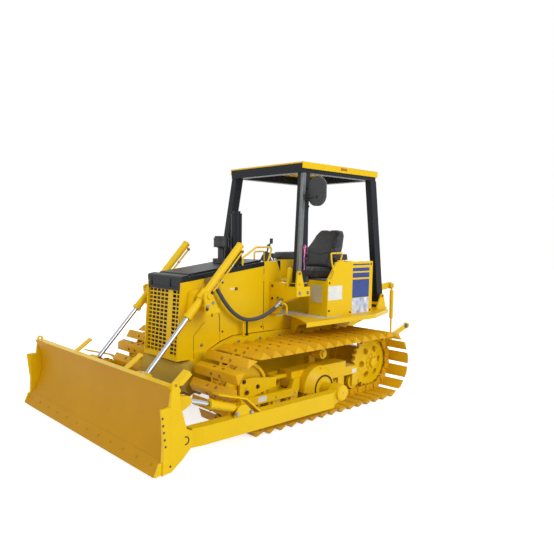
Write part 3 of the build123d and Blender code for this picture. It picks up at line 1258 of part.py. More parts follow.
# ---------------------------------------------------------------- build
def build():
    os.makedirs("parts", exist_ok=True)
    track = left_track()
    hose = lift_hose()
    for node, shape in (("track", track), ("hose", hose)):
        save(f"left_{node}", shape)
        save(f"right_{node}", mirrored(shape))
    for node, shape in (
            ("sprockets", sprocket()), ("final_drives", final_drive()), ("idlers", idler()),
            ("idler_yokes", idler_yoke()), ("track_frames", track_frame()), ("trunnions", trunnion()),
            ("engine_side_covers", engine_side_cover()), ("side_rails", side_rail()),
            ("cowl_wings", cowl_wing()),
            ("fenders", fender()), ("push_arms", push_arm()), ("cylinder_brackets", cylinder_bracket()),
            ("end_plates", end_plate()), ("lift_barrels", lift_barrel()), ("lift_rods", lift_rod()),
            ("tilt_barrels", tilt_barrel()), ("tilt_rods", tilt_rod()), ("hitch_rods", hitch_rod()),
            ("lower_links", lower_link())):
        save(node, both(shape))
    for node, shapes in (
            ("track_rollers", track_rollers() + [carrier_roller()]), ("blade_ears", blade_ears()),
            ("tilt_brackets", tilt_bracket()), ("hose_glands", hose_glands())):
        save(node, shapes, [mirrored(shape) for shape in shapes])
    for node, shape in (
            ("main_frame", main_frame() + rear_case()), ("engine_block", engine_block()),
            ("radiator_guard", radiator_guard()), ("front_grille", front_grille()), ("hood_cap", hood_cap()),
            ("hood_top", hood_top()), ("cowl", cowl()), ("dashboard", dashboard()),
            ("belly_guard", belly_guard()),
            ("exhaust_stack", exhaust_stack()), ("air_precleaner", air_precleaner()),
            ("handrails", [cowl_handrail(), grab_bow(), box_handrail()]), ("floor_plate", platform()),
            ("side_boxes", [side_box(), right_console()]), ("seat_pedestal", seat_pedestal()),
            ("seat_pan", seat_pan()),
            ("rear_tank", rear_tank()), ("seat_cushion", seat_cushion()), ("seat_back", seat_back()),
            ("armrests", both(armrest()) + [console_pad(), tray_mat()]), ("controls", levers() + pedals()),
            ("canopy_posts", canopy_posts()), ("canopy_beams", canopy_beams()),
            ("canopy_roof", canopy_roof()),
            ("canopy_mounts", canopy_mounts()), ("rear_view_mirror", mirror_set()),
            ("moldboard", moldboard()),
            ("cutting_edge", cutting_edge()), ("blade_ribs", upper_rib() + [lower_rib()]),
            ("hitch_frame", hitch_frame()), ("hitch_rocker", rocker())):
        save(node, shape)


if __name__ == "__main__":
    build()
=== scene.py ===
from math import copysign, cos, pi, radians, sin

import bmesh
import bpy
from mathutils import Matrix, Vector


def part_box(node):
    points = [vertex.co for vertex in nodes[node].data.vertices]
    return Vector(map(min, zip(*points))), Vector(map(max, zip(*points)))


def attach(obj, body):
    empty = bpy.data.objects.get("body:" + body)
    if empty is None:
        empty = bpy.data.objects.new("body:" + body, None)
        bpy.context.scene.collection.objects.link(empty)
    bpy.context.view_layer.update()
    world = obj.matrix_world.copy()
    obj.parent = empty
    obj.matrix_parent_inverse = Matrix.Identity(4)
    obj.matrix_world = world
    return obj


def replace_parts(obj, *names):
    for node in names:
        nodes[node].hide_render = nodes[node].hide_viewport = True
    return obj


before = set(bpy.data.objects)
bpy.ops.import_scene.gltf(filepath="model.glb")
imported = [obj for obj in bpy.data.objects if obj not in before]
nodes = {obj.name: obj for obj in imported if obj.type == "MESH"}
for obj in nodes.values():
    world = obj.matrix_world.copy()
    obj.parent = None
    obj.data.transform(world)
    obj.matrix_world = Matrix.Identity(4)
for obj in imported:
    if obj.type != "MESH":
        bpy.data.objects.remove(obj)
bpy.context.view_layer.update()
print("frame loaded:", len(nodes), "nodes")


def workOn(piece):
    bpy.ops.object.select_all(action="DESELECT")
    piece.select_set(True)
    bpy.context.view_layer.objects.active = piece


def addObject(name, data):
    piece = bpy.data.objects.new(name, data)
    bpy.context.scene.collection.objects.link(piece)
    return piece


def settle(piece):
    # puts the place into the mesh, so that the object ends at the origin
    workOn(piece)
    bpy.ops.object.transform_apply(location=True, rotation=True, scale=True)
    return piece


def addShape(name, primitive, **settings):
    bpy.ops.object.select_all(action="DESELECT")
    primitive(**settings)
    bpy.context.object.name = name
    return bpy.context.object


def addBlock(name, low, high):
    low, high = Vector(low), Vector(high)
    piece = addShape(name, bpy.ops.mesh.primitive_cube_add, size=1, location=(low + high) / 2)
    piece.scale = high - low
    return settle(piece)


def addRound(name, start, end, radius, sides=32, tip=None):
    # a rod, or with a tip radius a cone, from one point to another
    start, end = Vector(start), Vector(end)
    return settle(addShape(
        name, bpy.ops.mesh.primitive_cone_add, vertices=sides, radius1=radius,
        radius2=radius if tip is None else tip, depth=(end - start).length,
        location=(start + end) / 2, rotation=(end - start).to_track_quat("Z", "Y").to_euler()))


def enterEdit(piece, kind):
    # edit mode, with nothing selected
    workOn(piece)
    bpy.ops.object.mode_set(mode="EDIT")
    bpy.ops.mesh.select_mode(type=kind)
    bpy.ops.mesh.select_all(action="DESELECT")
    return bmesh.from_edit_mesh(piece.data)


def pickFaces(piece, test=lambda middle, normal: True):
    # edit mode, with the faces selected whose middle and normal pass the test
    mesh = enterEdit(piece, "FACE")
    for face in mesh.faces:
        face.select_set(bool(test(face.calc_center_median(), face.normal)))
    bmesh.update_edit_mesh(piece.data)


def leaveEdit():
    bpy.ops.object.mode_set(mode="OBJECT")


def facesUp(middle, normal):
    return normal.z > 0.9


def roundCorners(piece, axis, radius, segments, beyond=0.0):
    # rounds the edges that run along one axis, or only those further out in x
    mesh = enterEdit(piece, "EDGE")
    for edge in mesh.edges:
        a, b = edge.verts[0].co, edge.verts[1].co
        edge.select_set(abs((b - a).normalized()[axis]) > 0.9 and abs(a.x + b.x) / 2 >= beyond)
    bmesh.update_edit_mesh(piece.data)
    bpy.ops.mesh.bevel(offset=radius, segments=segments)
    leaveEdit()


def modify(piece, kind, **settings):
    # adds a modifier and applies it
    workOn(piece)
    modifier = piece.modifiers.new(kind, kind)
    for name, value in settings.items():
        setattr(modifier, name, value)
    bpy.ops.object.modifier_apply(modifier=modifier.name)


def roundEdges(piece, width, segments=2, angle=30):
    modify(piece, "BEVEL", width=width, segments=segments, angle_limit=radians(angle))


def copyPiece(piece, name, place):
    # a copy with its own mesh; a mirrored one gets its faces turned out again
    twin = piece.copy()
    twin.data = piece.data.copy()
    twin.name = name
    bpy.context.scene.collection.objects.link(twin)
    twin.data.transform(place)
    if place.determinant() < 0:
        pickFaces(twin)
        bpy.ops.mesh.normals_make_consistent(inside=False)
        leaveEdit()
    return twin


def joinPieces(pieces, name):
    workOn(pieces[0])
    for piece in pieces:
        piece.select_set(True)
    if len(pieces) > 1:
        bpy.ops.object.join()
    bpy.context.object.name = name
    return bpy.context.object


def fitPiece(piece, finish, body="chassis", smooth=35):
    # last touch on a piece: its finish, its shading and the body that it rides on
    workOn(piece)
    piece.data.materials.clear()
    piece.data.materials.append(stock[finish])
    bpy.ops.object.shade_smooth_by_angle(angle=radians(smooth))
    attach(piece, body)
    return piece


acrossY = Matrix.Scale(-1, 4, (0, 1, 0))


def bothSides(piece, finish, body="chassis", leftOnly=False):
    # the piece on the left and, unless it is only there, its mirror image on the right
    pieces = [piece]
    if not leftOnly:
        pieces.append(copyPiece(piece, piece.name + "Right", acrossY))
    piece.name += "Left"
    return [fitPiece(p, finish, body) for p in pieces]


def aim(point, normal, spin=0.0):
    # place at a point, with Z along a normal
    turn = Vector(normal).to_track_quat("Z", "Y").to_matrix().to_4x4()
    return Matrix.Translation(point) @ turn @ Matrix.Rotation(spin, 4, "Z")


# where the camera stands, how it is turned in radians, and its lens in mm
viewpoint = {"place": (4.0974, 4.5235, 1.6871), "yaw": 0.8132, "pitch": 0.1093, "roll": 0.0153,
             "lens": 37.514, "shiftX": -0.0026, "shiftY": 0.0425, "reach": 200}


def buildCamera():
    camera = addObject("camera", bpy.data.cameras.new("camera"))
    camera.data.lens = viewpoint["lens"]
    camera.data.shift_x, camera.data.shift_y = viewpoint["shiftX"], viewpoint["shiftY"]
    camera.data.clip_end = viewpoint["reach"]
    yaw, pitch, roll = viewpoint["yaw"], viewpoint["pitch"], viewpoint["roll"]
    ahead = Vector((-cos(yaw) * cos(pitch), -sin(yaw) * cos(pitch), -sin(pitch)))
    right = ahead.cross(Vector((0, 0, 1))).normalized()
    up = right.cross(ahead)
    axes = Matrix((cos(roll) * right + sin(roll) * up, -sin(roll) * right + cos(roll) * up, -ahead))
    camera.matrix_world = (Matrix.Translation(viewpoint["place"]) @ axes.transposed().to_4x4())
    bpy.context.scene.camera = camera


buildCamera()


def toLinear(code):
    channels = [int(code[i:i + 2], 16) / 255 for i in (1, 3, 5)]
    return [c / 12.92 if c <= 0.04045 else ((c + 0.055) / 1.055) ** 2.4 for c in channels] + [1.0]


def wire(tree, node, links):
    # a source is a socket, or a node whose first output is meant
    for socket, source in links.items():
        if isinstance(source, bpy.types.Node):
            source = source.outputs[0]
        tree.links.new(source, node.inputs[socket])


def addNode(tree, kind, values=None, links=None, **settings):
    # a colour's value may be given as its code
    node = tree.nodes.new("ShaderNode" + kind)
    for name, value in settings.items():
        setattr(node, name, value)
    for socket, value in (values or {}).items():
        node.inputs[socket].default_value = toLinear(value) if isinstance(value, str) else value
    wire(tree, node, links or {})
    return node


def startMaterial(name, values):
    # a new material, its tree and shader, and the Object coordinates that its patterns follow
    material = bpy.data.materials.new(name)
    material.use_nodes = True
    tree = material.node_tree
    shader = tree.nodes["Principled BSDF"]
    for socket, value in values.items():
        shader.inputs[socket].default_value = value
    place = addNode(tree, "TexCoord")
    return material, tree, shader, {"Vector": place.outputs["Object"]}


# Steel plate sprayed with machine enamel: a glossy coat with a faint orange peel, a tone that
# drifts, dust on what faces up, and along the edges a paler colour in specks, partly a thinner,
# chipped coat and partly a painted highlight where light catches the edges.
paintColumns = ("colour", "drift", "dust", "edge", "dustShare", "edgeWearAndHighlightShare", "roughness", "peel",
                "coat", "gloss")
paints = {
    "machineYellow": ("#ECC600", "#E2B800", "#C8A24A", "#F6D23C", 0.12, 0.35, 0.32, 0.0002, 0.04,
                      0.16),
    # painted shade: the blade's yellow is the machine's yellow made darker and more orange, as it
    # looks on the blade's shaded front
    "bladeShadedYellow": ("#C69200", "#B88600", "#9A7420", "#DDAA18", 0.12, 0.4, 0.5, 0.0003, 0.0, 0.15),
    "shoeYellow": ("#E4B204", "#D29E04", "#A87820", "#F0C848", 0.3, 0.5, 0.45, 0.0004, 0.05, 0.15),
    "satinBlack": ("#0C1016", "#13181F", "#56575A", "#444A52", 0.06, 0.3, 0.4, 0.0002, 0.04, 0.2),
    "bellyDrab": ("#CDAE42", "#A88E38", "#7A6A36", "#C4A648", 0.35, 0.3, 0.6, 0.0008, 0.0, 0.15),
}
# patches of 300 to 400 mm, specks of about 14 mm and finer, orange peel with 2.5 mm between lumps
paintNoise = ({"Scale": 2.6, "Detail": 4.0, "Roughness": 0.55},
              {"Scale": 70.0, "Detail": 6.0, "Roughness": 0.7},
              {"Scale": 420.0, "Detail": 1.0, "Roughness": 0.5})


def paintedSteel(name):
    look = dict(zip(paintColumns, paints[name]))
    material, tree, shader, where = startMaterial(
        name, {"IOR": 1.5, "Coat Weight": look["coat"], "Coat Roughness": 0.12,
               "Specular IOR Level": look["gloss"]})
    broad, grit, peel = [addNode(tree, "TexNoise", row, where) for row in paintNoise]
    drift = addNode(tree, "Mix", {"A": look["colour"], "B": look["drift"]},
                    {"Factor": broad}, data_type="RGBA")
    # edges: where the rounded normal leaves the flat one; the paler colour there is partly wear and
    # partly a painted highlight
    rounded = addNode(tree, "Bevel", {"Radius": 0.005}, samples=4)
    flat = addNode(tree, "NewGeometry")
    same = addNode(tree, "VectorMath", None, {0: rounded, 1: flat.outputs["Normal"]},
                   operation="DOT_PRODUCT")
    edgeWearAndHighlight = addNode(tree, "MapRange", {"From Min": 0.998, "From Max": 0.9,
                                          "To Max": look["edgeWearAndHighlightShare"]},
                       {"Value": same.outputs["Value"]})
    speckledEdgeWearAndHighlight = addNode(tree, "Math", None, {0: edgeWearAndHighlight, 1: grit}, operation="MULTIPLY",
                     use_clamp=True)
    withEdgeWearAndHighlight = addNode(tree, "Mix", {"B": look["edge"]},
                    {"Factor": speckledEdgeWearAndHighlight, "A": drift.outputs[2]}, data_type="RGBA")
    # dust: on upward faces, in broad patches broken up by the grit
    faces = addNode(tree, "TexCoord")
    turned = addNode(tree, "SeparateXYZ", None, {0: faces.outputs["Normal"]})
    upward = addNode(tree, "MapRange", {"From Min": -0.3, "From Max": 1.0, "To Min": 0.25},
                     {"Value": turned.outputs["Z"]})
    patches = addNode(tree, "Math", {1: 0.5}, {0: broad, 2: grit}, operation="MULTIPLY_ADD")
    settled = addNode(tree, "MapRange", {"From Min": 0.6, "From Max": 1.05,
                                         "To Max": look["dustShare"] * 2.2}, {"Value": patches})
    dust = addNode(tree, "Math", None, {0: upward, 1: settled}, operation="MULTIPLY",
                   use_clamp=True)
    coloured = addNode(tree, "Mix", {"B": look["dust"]},
                       {"Factor": dust, "A": withEdgeWearAndHighlight.outputs[2]}, data_type="RGBA")
    matt = addNode(tree, "MapRange", {"To Min": look["roughness"],
                                      "To Max": look["roughness"] + 0.4}, {"Value": dust})
    bump = addNode(tree, "Bump", {"Strength": 0.5, "Distance": look["peel"]},
                   {"Height": peel, "Normal": rounded})
    wire(tree, shader, {"Base Color": coloured.outputs[2], "Roughness": matt, "Normal": bump})
    return material


# Plain finishes, mottled and smeared a little: two colours, how each takes light, the size of its
# mottling in mm, and the depth of its relief in metres.
finishColumns = ("colour", "other", "metallic", "roughness", "grain", "bump")
finishes = {
    "castSteel": ("#3B352C", "#5A4A30", 0.3, 0.62, 12, 0.0006),  # rusty casting
    "zincBolt": ("#A9A59A", "#8B8468", 0.85, 0.36, 5, 0.0001),  # zinc plate, dulled and oily
    "darkBolt": ("#3A2A1A", "#5A3D1E", 0.3, 0.6, 5, 0.0002),  # bare steel gone brown
    "hardChrome": ("#BCC0CA", "#AAB0BC", 1.0, 0.12, 30, 0.0),  # ground and polished rod
    "blackPlastic": ("#1E2124", "#26292D", 0.0, 0.46, 2, 0.0002),  # moulded polypropylene
    "blackRubber": ("#191A1C", "#232427", 0.0, 0.68, 3, 0.0003),
    "brownPlastic": ("#7A4A1C", "#6A3F18", 0.0, 0.4, 4, 0.0001),
    "sealRed": ("#8E1A14", "#6E120E", 0.0, 0.45, 5, 0.0001),  # polyurethane seal
    "couplerBlue": ("#2A4A86", "#1E3868", 0.0, 0.4, 5, 0.0001),
    "labelWhite": ("#E9E9E2", "#D3D5D2", 0.0, 0.3, 18, 0.0),  # printed vinyl, left blank
    "plateGrey": ("#CFCDB6", "#B9B69A", 0.0, 0.4, 10, 0.0),
    "filmBlue": ("#0C2A7C", "#1C4690", 0.0, 0.3, 16, 0.0),
    "filmMottled": ("#F0F2F4", "#4A6AB0", 0.0, 0.3, 60, 0.0),
    "markerAmber": ("#B8680E", "#A0560A", 0.0, 0.2, 6, 0.0),  # acrylic reflector
    "creamEnamel": ("#EFE0A8", "#E6D48F", 0.0, 0.35, 20, 0.0001),
    "mirrorGlass": ("#E4E8EA", "#E0E4E6", 1.0, 0.03, 40, 0.0),  # silvered glass
    "darkGap": ("#1A1208", "#120C06", 0.0, 0.8, 8, 0.0),  # the shade in a joint between sheets
    "postHighlightGrey": ("#74787A", "#606466", 0.3, 0.4, 30, 0.0),  # painted highlight: a pale grey angle for the light on the post's rounded corner
    # painted shade: the shoe's yellow darkened to brown for the shoe bolts and the discs round
    # them, as the shade in recesses round the bolts
    "shoeBoltPaintAndShade": ("#A8760C", "#84580A", 0.0, 0.5, 8, 0.0002),
    "collarGreen": ("#1C5A48", "#174A3C", 0.0, 0.5, 6, 0.0),
    "tagPink": ("#E0429A", "#EE8CC0", 0.0, 0.6, 14, 0.0002),  # woven ribbon
}


def plainFinish(name):
    look = dict(zip(finishColumns, finishes[name]))
    material, tree, shader, where = startMaterial(name, {"Metallic": look["metallic"]})
    mottle = addNode(tree, "TexNoise", {"Scale": 1000 / look["grain"], "Detail": 3.0,
                                        "Roughness": 0.6}, where)
    smear = addNode(tree, "TexNoise", {"Scale": 9.0, "Detail": 2.0}, where)
    share = addNode(tree, "Math", {2: 0.0}, {0: mottle, 1: smear}, operation="MULTIPLY_ADD")
    spread = addNode(tree, "MapRange", {"From Min": 0.12, "From Max": 0.42}, {"Value": share})
    colour = addNode(tree, "Mix", {"A": look["colour"], "B": look["other"]},
                     {"Factor": spread}, data_type="RGBA")
    gloss = addNode(tree, "MapRange", {"To Min": look["roughness"] * 0.9,
                                       "To Max": look["roughness"] * 1.15}, {"Value": smear})
    wire(tree, shader, {"Base Color": colour.outputs[2], "Roughness": gloss})
    if look["bump"]:
        bump = addNode(tree, "Bump", {"Strength": 0.6, "Distance": look["bump"]},
                       {"Height": mottle})
        wire(tree, shader, {"Normal": bump})
    return material


def treadPlate():
    # rolled aluminium floor plate: raised lozenges 32 mm apart, in two slants, with mud on them
    material, tree, shader, where = startMaterial("treadPlate", {"Metallic": 0.2})
    studs = []
    for slant, shift in ((radians(45), 0.0), (radians(-45), 0.5)):
        laid = addNode(tree, "Mapping", {"Rotation": (0, 0, slant), "Scale": (31.0, 90.0, 0.0),
                                         "Location": (shift, shift, 0)}, where)
        cell = addNode(tree, "TexVoronoi", {"Scale": 1.0, "Randomness": 0.0}, {"Vector": laid},
                       voronoi_dimensions="2D")
        studs.append(addNode(tree, "MapRange", {"From Min": 0.42, "From Max": 0.3},
                             {"Value": cell}))
    raised = addNode(tree, "Math", None, {0: studs[0], 1: studs[1]}, operation="MAXIMUM")
    mud = addNode(tree, "TexNoise", {"Scale": 6.0, "Detail": 5.0}, where)
    bare = addNode(tree, "Mix", {"A": "#A9A9A4", "B": "#DCDCD6"},
                   {"Factor": raised}, data_type="RGBA")
    dirty = addNode(tree, "MapRange", {"From Min": 0.58, "From Max": 0.8, "To Max": 0.4},
                    {"Value": mud})
    colour = addNode(tree, "Mix", {"B": "#8A7A58"},
                     {"Factor": dirty, "A": bare.outputs[2]}, data_type="RGBA")
    matt = addNode(tree, "MapRange", {"To Min": 0.4, "To Max": 0.75}, {"Value": dirty})
    bump = addNode(tree, "Bump", {"Strength": 1.0, "Distance": 0.0016}, {"Height": raised})
    wire(tree, shader, {"Base Color": colour.outputs[2], "Roughness": matt, "Normal": bump})
    return material


def seatVinyl():
    # PVC-coated cloth with a leather grain of about 1.5 mm, drawn at 4 mm so that it shows
    material, tree, shader, where = startMaterial("seatVinyl", {"IOR": 1.52, "Sheen Weight": 0.08})
    grain = addNode(tree, "TexVoronoi", {"Scale": 250.0}, where, feature="DISTANCE_TO_EDGE")
    crease = addNode(tree, "TexNoise", {"Scale": 14.0, "Detail": 4.0, "Distortion": 1.2}, where)
    dusty = addNode(tree, "MapRange", {"From Min": 0.45, "From Max": 0.75, "To Max": 0.55},
                    {"Value": crease})
    colour = addNode(tree, "Mix", {"A": "#191D22", "B": "#30353B"},
                     {"Factor": dusty}, data_type="RGBA")
    matt = addNode(tree, "MapRange", {"To Min": 0.42, "To Max": 0.6}, {"Value": crease})
    wrinkle = addNode(tree, "Bump", {"Strength": 0.35, "Distance": 0.004}, {"Height": crease})
    fine = addNode(tree, "Bump", {"Strength": 0.4, "Distance": 0.0004},
                   {"Height": grain, "Normal": wrinkle})
    wire(tree, shader, {"Base Color": colour.outputs[2], "Roughness": matt, "Normal": fine})
    return material


def hoseSleeve():
    # woven nylon sleeve on a rubber hose: strands 2 mm wide, drawn at 8 mm, crossed at 45 degrees
    material, tree, shader, where = startMaterial(
        "hoseSleeve", {"Sheen Weight": 0.2, "Roughness": 0.55})
    strands = []
    for turn in (radians(45), radians(-45)):
        laid = addNode(tree, "Mapping", {"Rotation": (0.6, turn, 0)}, where)
        wave = addNode(tree, "TexWave", {"Scale": 40.0, "Distortion": 0.4}, {"Vector": laid})
        strands.append(wave.outputs["Fac"])
    weave = addNode(tree, "Math", None, {0: strands[0], 1: strands[1]}, operation="MAXIMUM")
    colour = addNode(tree, "Mix", {"A": "#1C2026", "B": "#3D434C"},
                     {"Factor": weave}, data_type="RGBA")
    bump = addNode(tree, "Bump", {"Strength": 0.5, "Distance": 0.0008}, {"Height": weave})
    wire(tree, shader, {"Base Color": colour.outputs[2], "Normal": bump})
    return material


stock = {name: paintedSteel(name) for name in paints}
stock.update({name: plainFinish(name) for name in finishes})
stock.update({"treadPlate": treadPlate(), "seatVinyl": seatVinyl(), "hoseSleeve": hoseSleeve()})
print("finishes made")

hose = {"radius": 0.019, "length": 0.918,
        "route": [(0.948, 0.344, 1.262), (0.890, 0.346, 1.172), (0.812, 0.350, 1.060),
                  (0.718, 0.354, 0.966), (0.606, 0.358, 0.904), (0.492, 0.372, 0.896),
                  (0.388, 0.396, 0.924), (0.300, 0.422, 0.976), (0.236, 0.441, 1.032)]}


def addTube(name, points, side, radius, kind, resolution):
    # a capped tube along a curve's points, with y turned over on the right
    curve = bpy.data.curves.new(name, "CURVE")
    curve.dimensions = "3D"
    curve.bevel_depth, curve.bevel_resolution, curve.use_fill_caps = radius, resolution, True
    spline = curve.splines.new(kind)
    spline.points.add(len(points) - 1)
    for point, (x, y, z) in zip(spline.points, points):
        point.co = (x, side * y, z, 1)
    return addObject(name, curve)


def buildHoses():
    for name, side in (("left", 1), ("right", -1)):
        piece = addTube(name + "LiftHose", hose["route"], side, hose["radius"], "NURBS", 6)
        piece.data.resolution_u = 16
        spline = piece.data.splines[0]
        spline.order_u = 3
        spline.use_endpoint_u = True
        piece.data.materials.append(stock["hoseSleeve"])
        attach(piece, "chassis")
        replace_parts(piece, name + "_hose")


buildHoses()
print("hoses laid")

nodeFinish = {
    "machineYellow": [
        "sprockets", "fenders", "idlers", "track_rollers", "idler_yokes", "final_drives",
        "track_frames", "trunnions", "main_frame", "radiator_guard", "front_grille",
        "engine_side_covers", "side_rails", "cowl", "cowl_wings", "handrails", "side_boxes",
        "seat_pedestal", "rear_tank", "canopy_roof", "cylinder_brackets", "push_arms",
        "tilt_brackets", "end_plates", "blade_ears", "blade_ribs", "lift_barrels", "tilt_barrels",
        "hitch_frame", "hitch_rocker", "hitch_rods", "lower_links", "canopy_mounts"],
    # moldboard and cutting edge take the blade's painted shade
    "bladeShadedYellow": ["moldboard", "cutting_edge"],
    "bellyDrab": ["belly_guard"],
    "satinBlack": ["seat_pan", "hood_cap", "hood_top", "dashboard", "exhaust_stack",
                   "canopy_posts", "canopy_beams"],
    "castSteel": ["engine_block"],
    "hardChrome": ["lift_rods", "tilt_rods"],
    "treadPlate": ["floor_plate"],
    "seatVinyl": ["seat_cushion", "seat_back", "armrests"],
    "blackPlastic": ["air_precleaner", "controls", "rear_view_mirror"],
    "zincBolt": ["hose_glands"],
    "shoeYellow": ["left_track", "right_track"],
}


def paintNodes():
    for finish, names in nodeFinish.items():
        for name in names:
            mesh = nodes[name].data
            mesh.materials.clear()
            mesh.materials.append(stock[finish])
    dressed = {name for names in nodeFinish.values() for name in names}
    print("nodes without a finish:", sorted(set(nodes) - dressed - {"left_hose", "right_hose"}))


paintNodes()

bolt = {"across": 0.030, "head": 0.013, "washer": 0.020, "washerThick": 0.004, "turn": 0.4}

# The node that each set of bolts sits on, and a point on the line on which each bolt is let down to
# it, inwards unless the row says otherwise. The size is a share of the bolt above.
hub = {"x": -0.877, "z": 0.360, "radius": 0.067, "bolts": 8}
boltSets = {
    "trunnionBearingBolts": {"on": "cylinder_brackets", "size": 0.9, "turn": 0.8,
                             "spots": [(1.082, 2, 1.110), (1.141, 2, 1.084)]},
    "bracketDarkBolts": {"on": "cylinder_brackets", "size": 0.8, "finish": "darkBolt",
                         "spots": [(1.096, 2, 1.200), (1.150, 2, 1.060)]},
    # the cutting edge's bolts take the blade's painted shade
    "edgeBolts": {"on": "cutting_edge", "size": 0.6, "finish": "bladeShadedYellow", "body": "blade",
                  "toward": (-1, 0, 0), "sides": (1,), "sunk": 0.004,
                  "spots": [(2.6, -1.1 + 0.2 * i, 0.092) for i in range(12)]},
    "eyeSeals": {"on": "blade_ears", "size": 1.5, "finish": "sealRed", "body": "blade",
                 "toward": (0, 1, 0), "spots": [(1.710, 0.2, 0.541)]},
    "tiltBracketBolts": {"on": "tilt_brackets", "body": "push_frame",
                         "spots": [(1.322, 2, 0.312), (1.180, 2, 0.306)]},
    "yokeBolts": {"on": "idler_yokes", "finish": "darkBolt",
                  "spots": [(0.958, 2, 0.442), (0.935, 2, 0.347), (0.80, 2, 0.375)]},
    "boxBolts": {"on": "side_boxes", "size": 0.55, "finish": "darkBolt",
                 "spots": [(-0.175, 2, 1.245), (-0.175, 2, 0.966), (-0.50, 2, 0.93),
                           (-0.83, 2, 0.93), (-0.83, 2, 1.42)]},
    "guardBolts": {"on": "radiator_guard", "size": 0.8, "spots": [(1.040, 2, 0.700)]},
    "railBolts": {"on": "side_rails", "size": 0.8,
                  "spots": [(x, 2, 0.70) for x in (0.655, 0.382, 0.12, -0.2, -0.5)]},
    "wingBolts": {"on": "cowl_wings", "size": 0.7, "finish": "darkBolt", "toward": (-1, 0, 0),
                  "spots": [(2, 0.32, 1.205), (2, 0.32, 1.080), (2, 0.40, 1.090)]},
    "wingSideBolts": {"on": "cowl_wings", "size": 0.9,
                      "spots": [(0.05, 2, 1.156), (0.16, 2, 1.156)]},
    "coverBolts": {"on": "engine_side_covers", "size": 0.5, "finish": "darkBolt",
                   "spots": [(0.80, 2, 1.26), (0.80, 2, 0.80), (0.315, 2, 0.80)]},
    "hoodBolts": {"on": "hood_top", "size": 0.6, "finish": "blackPlastic", "toward": (0, 0, -1),
                  "spots": [(x, 0.262, 2) for x in (1.13, 0.86, 0.60)]},
    "ringBolts": {"on": "sprockets", "size": 0.6, "finish": "machineYellow",
                  "spots": [(hub["x"] + hub["radius"] * cos(2 * pi * i / hub["bolts"]), 2,
                             hub["z"] + hub["radius"] * sin(2 * pi * i / hub["bolts"]))
                            for i in range(hub["bolts"])]},
    "frameBolts": {"on": "track_frames", "size": 0.8, "finish": "machineYellow",
                   "spots": [(0.36, 2, 0.258), (0.60, 2, 0.258)]},
    "trunnionBolts": {"on": "trunnions", "size": 0.8, "finish": "machineYellow",
                      "spots": [(0.088, 2, 0.45)]},
    "mirrorBolts": {"on": "canopy_posts", "size": 0.6, "finish": "blackPlastic", "sides": (1,),
                    "spots": [(-0.02, 2, 2.16), (-0.02, 2, 1.99)]},
    "postFootBolts": {"on": "canopy_mounts", "size": 0.7, "finish": "machineYellow",
                      "spots": [(0.165, 2, 1.245)]},
}


def modelBolt():
    # hexagon head with its corners taken off, on a plain washer; its seat is at the origin
    washer = addRound("washer", (0, 0, 0), (0, 0, bolt["washerThick"]), bolt["washer"], 18)
    top = bolt["washerThick"] + bolt["head"]
    head = addRound("head", (0, 0, bolt["washerThick"] - 0.001), (0, 0, top), bolt["across"] / 2, 6)
    pickFaces(head, lambda middle, normal: middle.z > top - 0.001)
    bpy.ops.mesh.bevel(offset=0.003, segments=1)
    leaveEdit()
    return joinPieces([head, washer], "hexBolt")


def boltGroup(hexBolt, name, on, spots, toward=(0, -1, 0), finish="zincBolt", size=1.0,
              body="chassis", sides=(1, -1), sunk=0.0, turn=0.0):
    # each bolt is copied to where its line first meets the node, or a little into it
    pieces = []
    for side in sides:
        along = Vector((toward[0], side * toward[1], toward[2]))
        for i, (x, y, z) in enumerate(spots):
            hit, seat, normal, _ = nodes[on].ray_cast(Vector((x, side * y, z)), along)
            if not hit:
                print("no seat for", name, i)
                continue
            place = aim(seat - normal * sunk, normal, turn + bolt["turn"] * i)
            pieces.append(copyPiece(hexBolt, name, place @ Matrix.Scale(size, 4)))
    fitPiece(joinPieces(pieces, name), finish, body)


def buildBolts():
    hexBolt = modelBolt()
    for name, row in boltSets.items():
        boltGroup(hexBolt, name, **row)
    bpy.data.objects.remove(hexBolt)
    print("bolts seated")


buildBolts()

# the chain's run, and the first link's place on it as a share of the pitch
track = {"pitch": 0.135, "shoes": 39, "first": 0.1156, "idlerX": 0.912, "sprocketX": -0.877,
         "axleZ": 0.360, "middleY": 0.700, "turn": 28.8}
shoeSize = {"width": 0.610, "base": 0.124, "foot": 0.035, "top": 0.08858, "ridge": 0.008,
            "hip": 0.026, "boltX": 0.034, "boltY": 0.058, "recessShadeDisc": 0.0155, "head": 0.0120,
            "depth": 0.006, "rim": 0.001, "headHeight": 0.007}
linkSize = {"apart": 0.045, "plate": 0.0095, "step": 0.0065, "reach": 0.086, "lap": 0.010,
            "low": -0.027, "high": 0.036, "corner": 0.024, "boss": 0.017, "bossFrom": 0.014,
            "bossTo": 0.022, "bushing": 0.020, "bushingShort": 0.004}


def linkPlace(count):
    # place of a link on the chain, counted from the top of the idler towards the rear
    pitch, turn = track["pitch"], track["turn"]
    run, half = (track["idlerX"] - track["sprocketX"]) / pitch, 180 / turn
    count = count % track["shoes"]
    if count < run:
        x, angle = track["idlerX"] - count * pitch, 0
    elif count < run + half:
        x, angle = track["sprocketX"], -(count - run) * turn
    elif count < 2 * run + half:
        x, angle = track["sprocketX"] + (count - run - half) * pitch, -180
    else:
        x, angle = track["idlerX"], -180 - (count - 2 * run - half) * turn
    radius = pitch / (2 * sin(radians(turn / 2)))
    return (Matrix.Translation((x, 0, track["axleZ"])) @ Matrix.Rotation(radians(angle), 4, "Y")
            @ Matrix.Translation((0, 0, radius)))


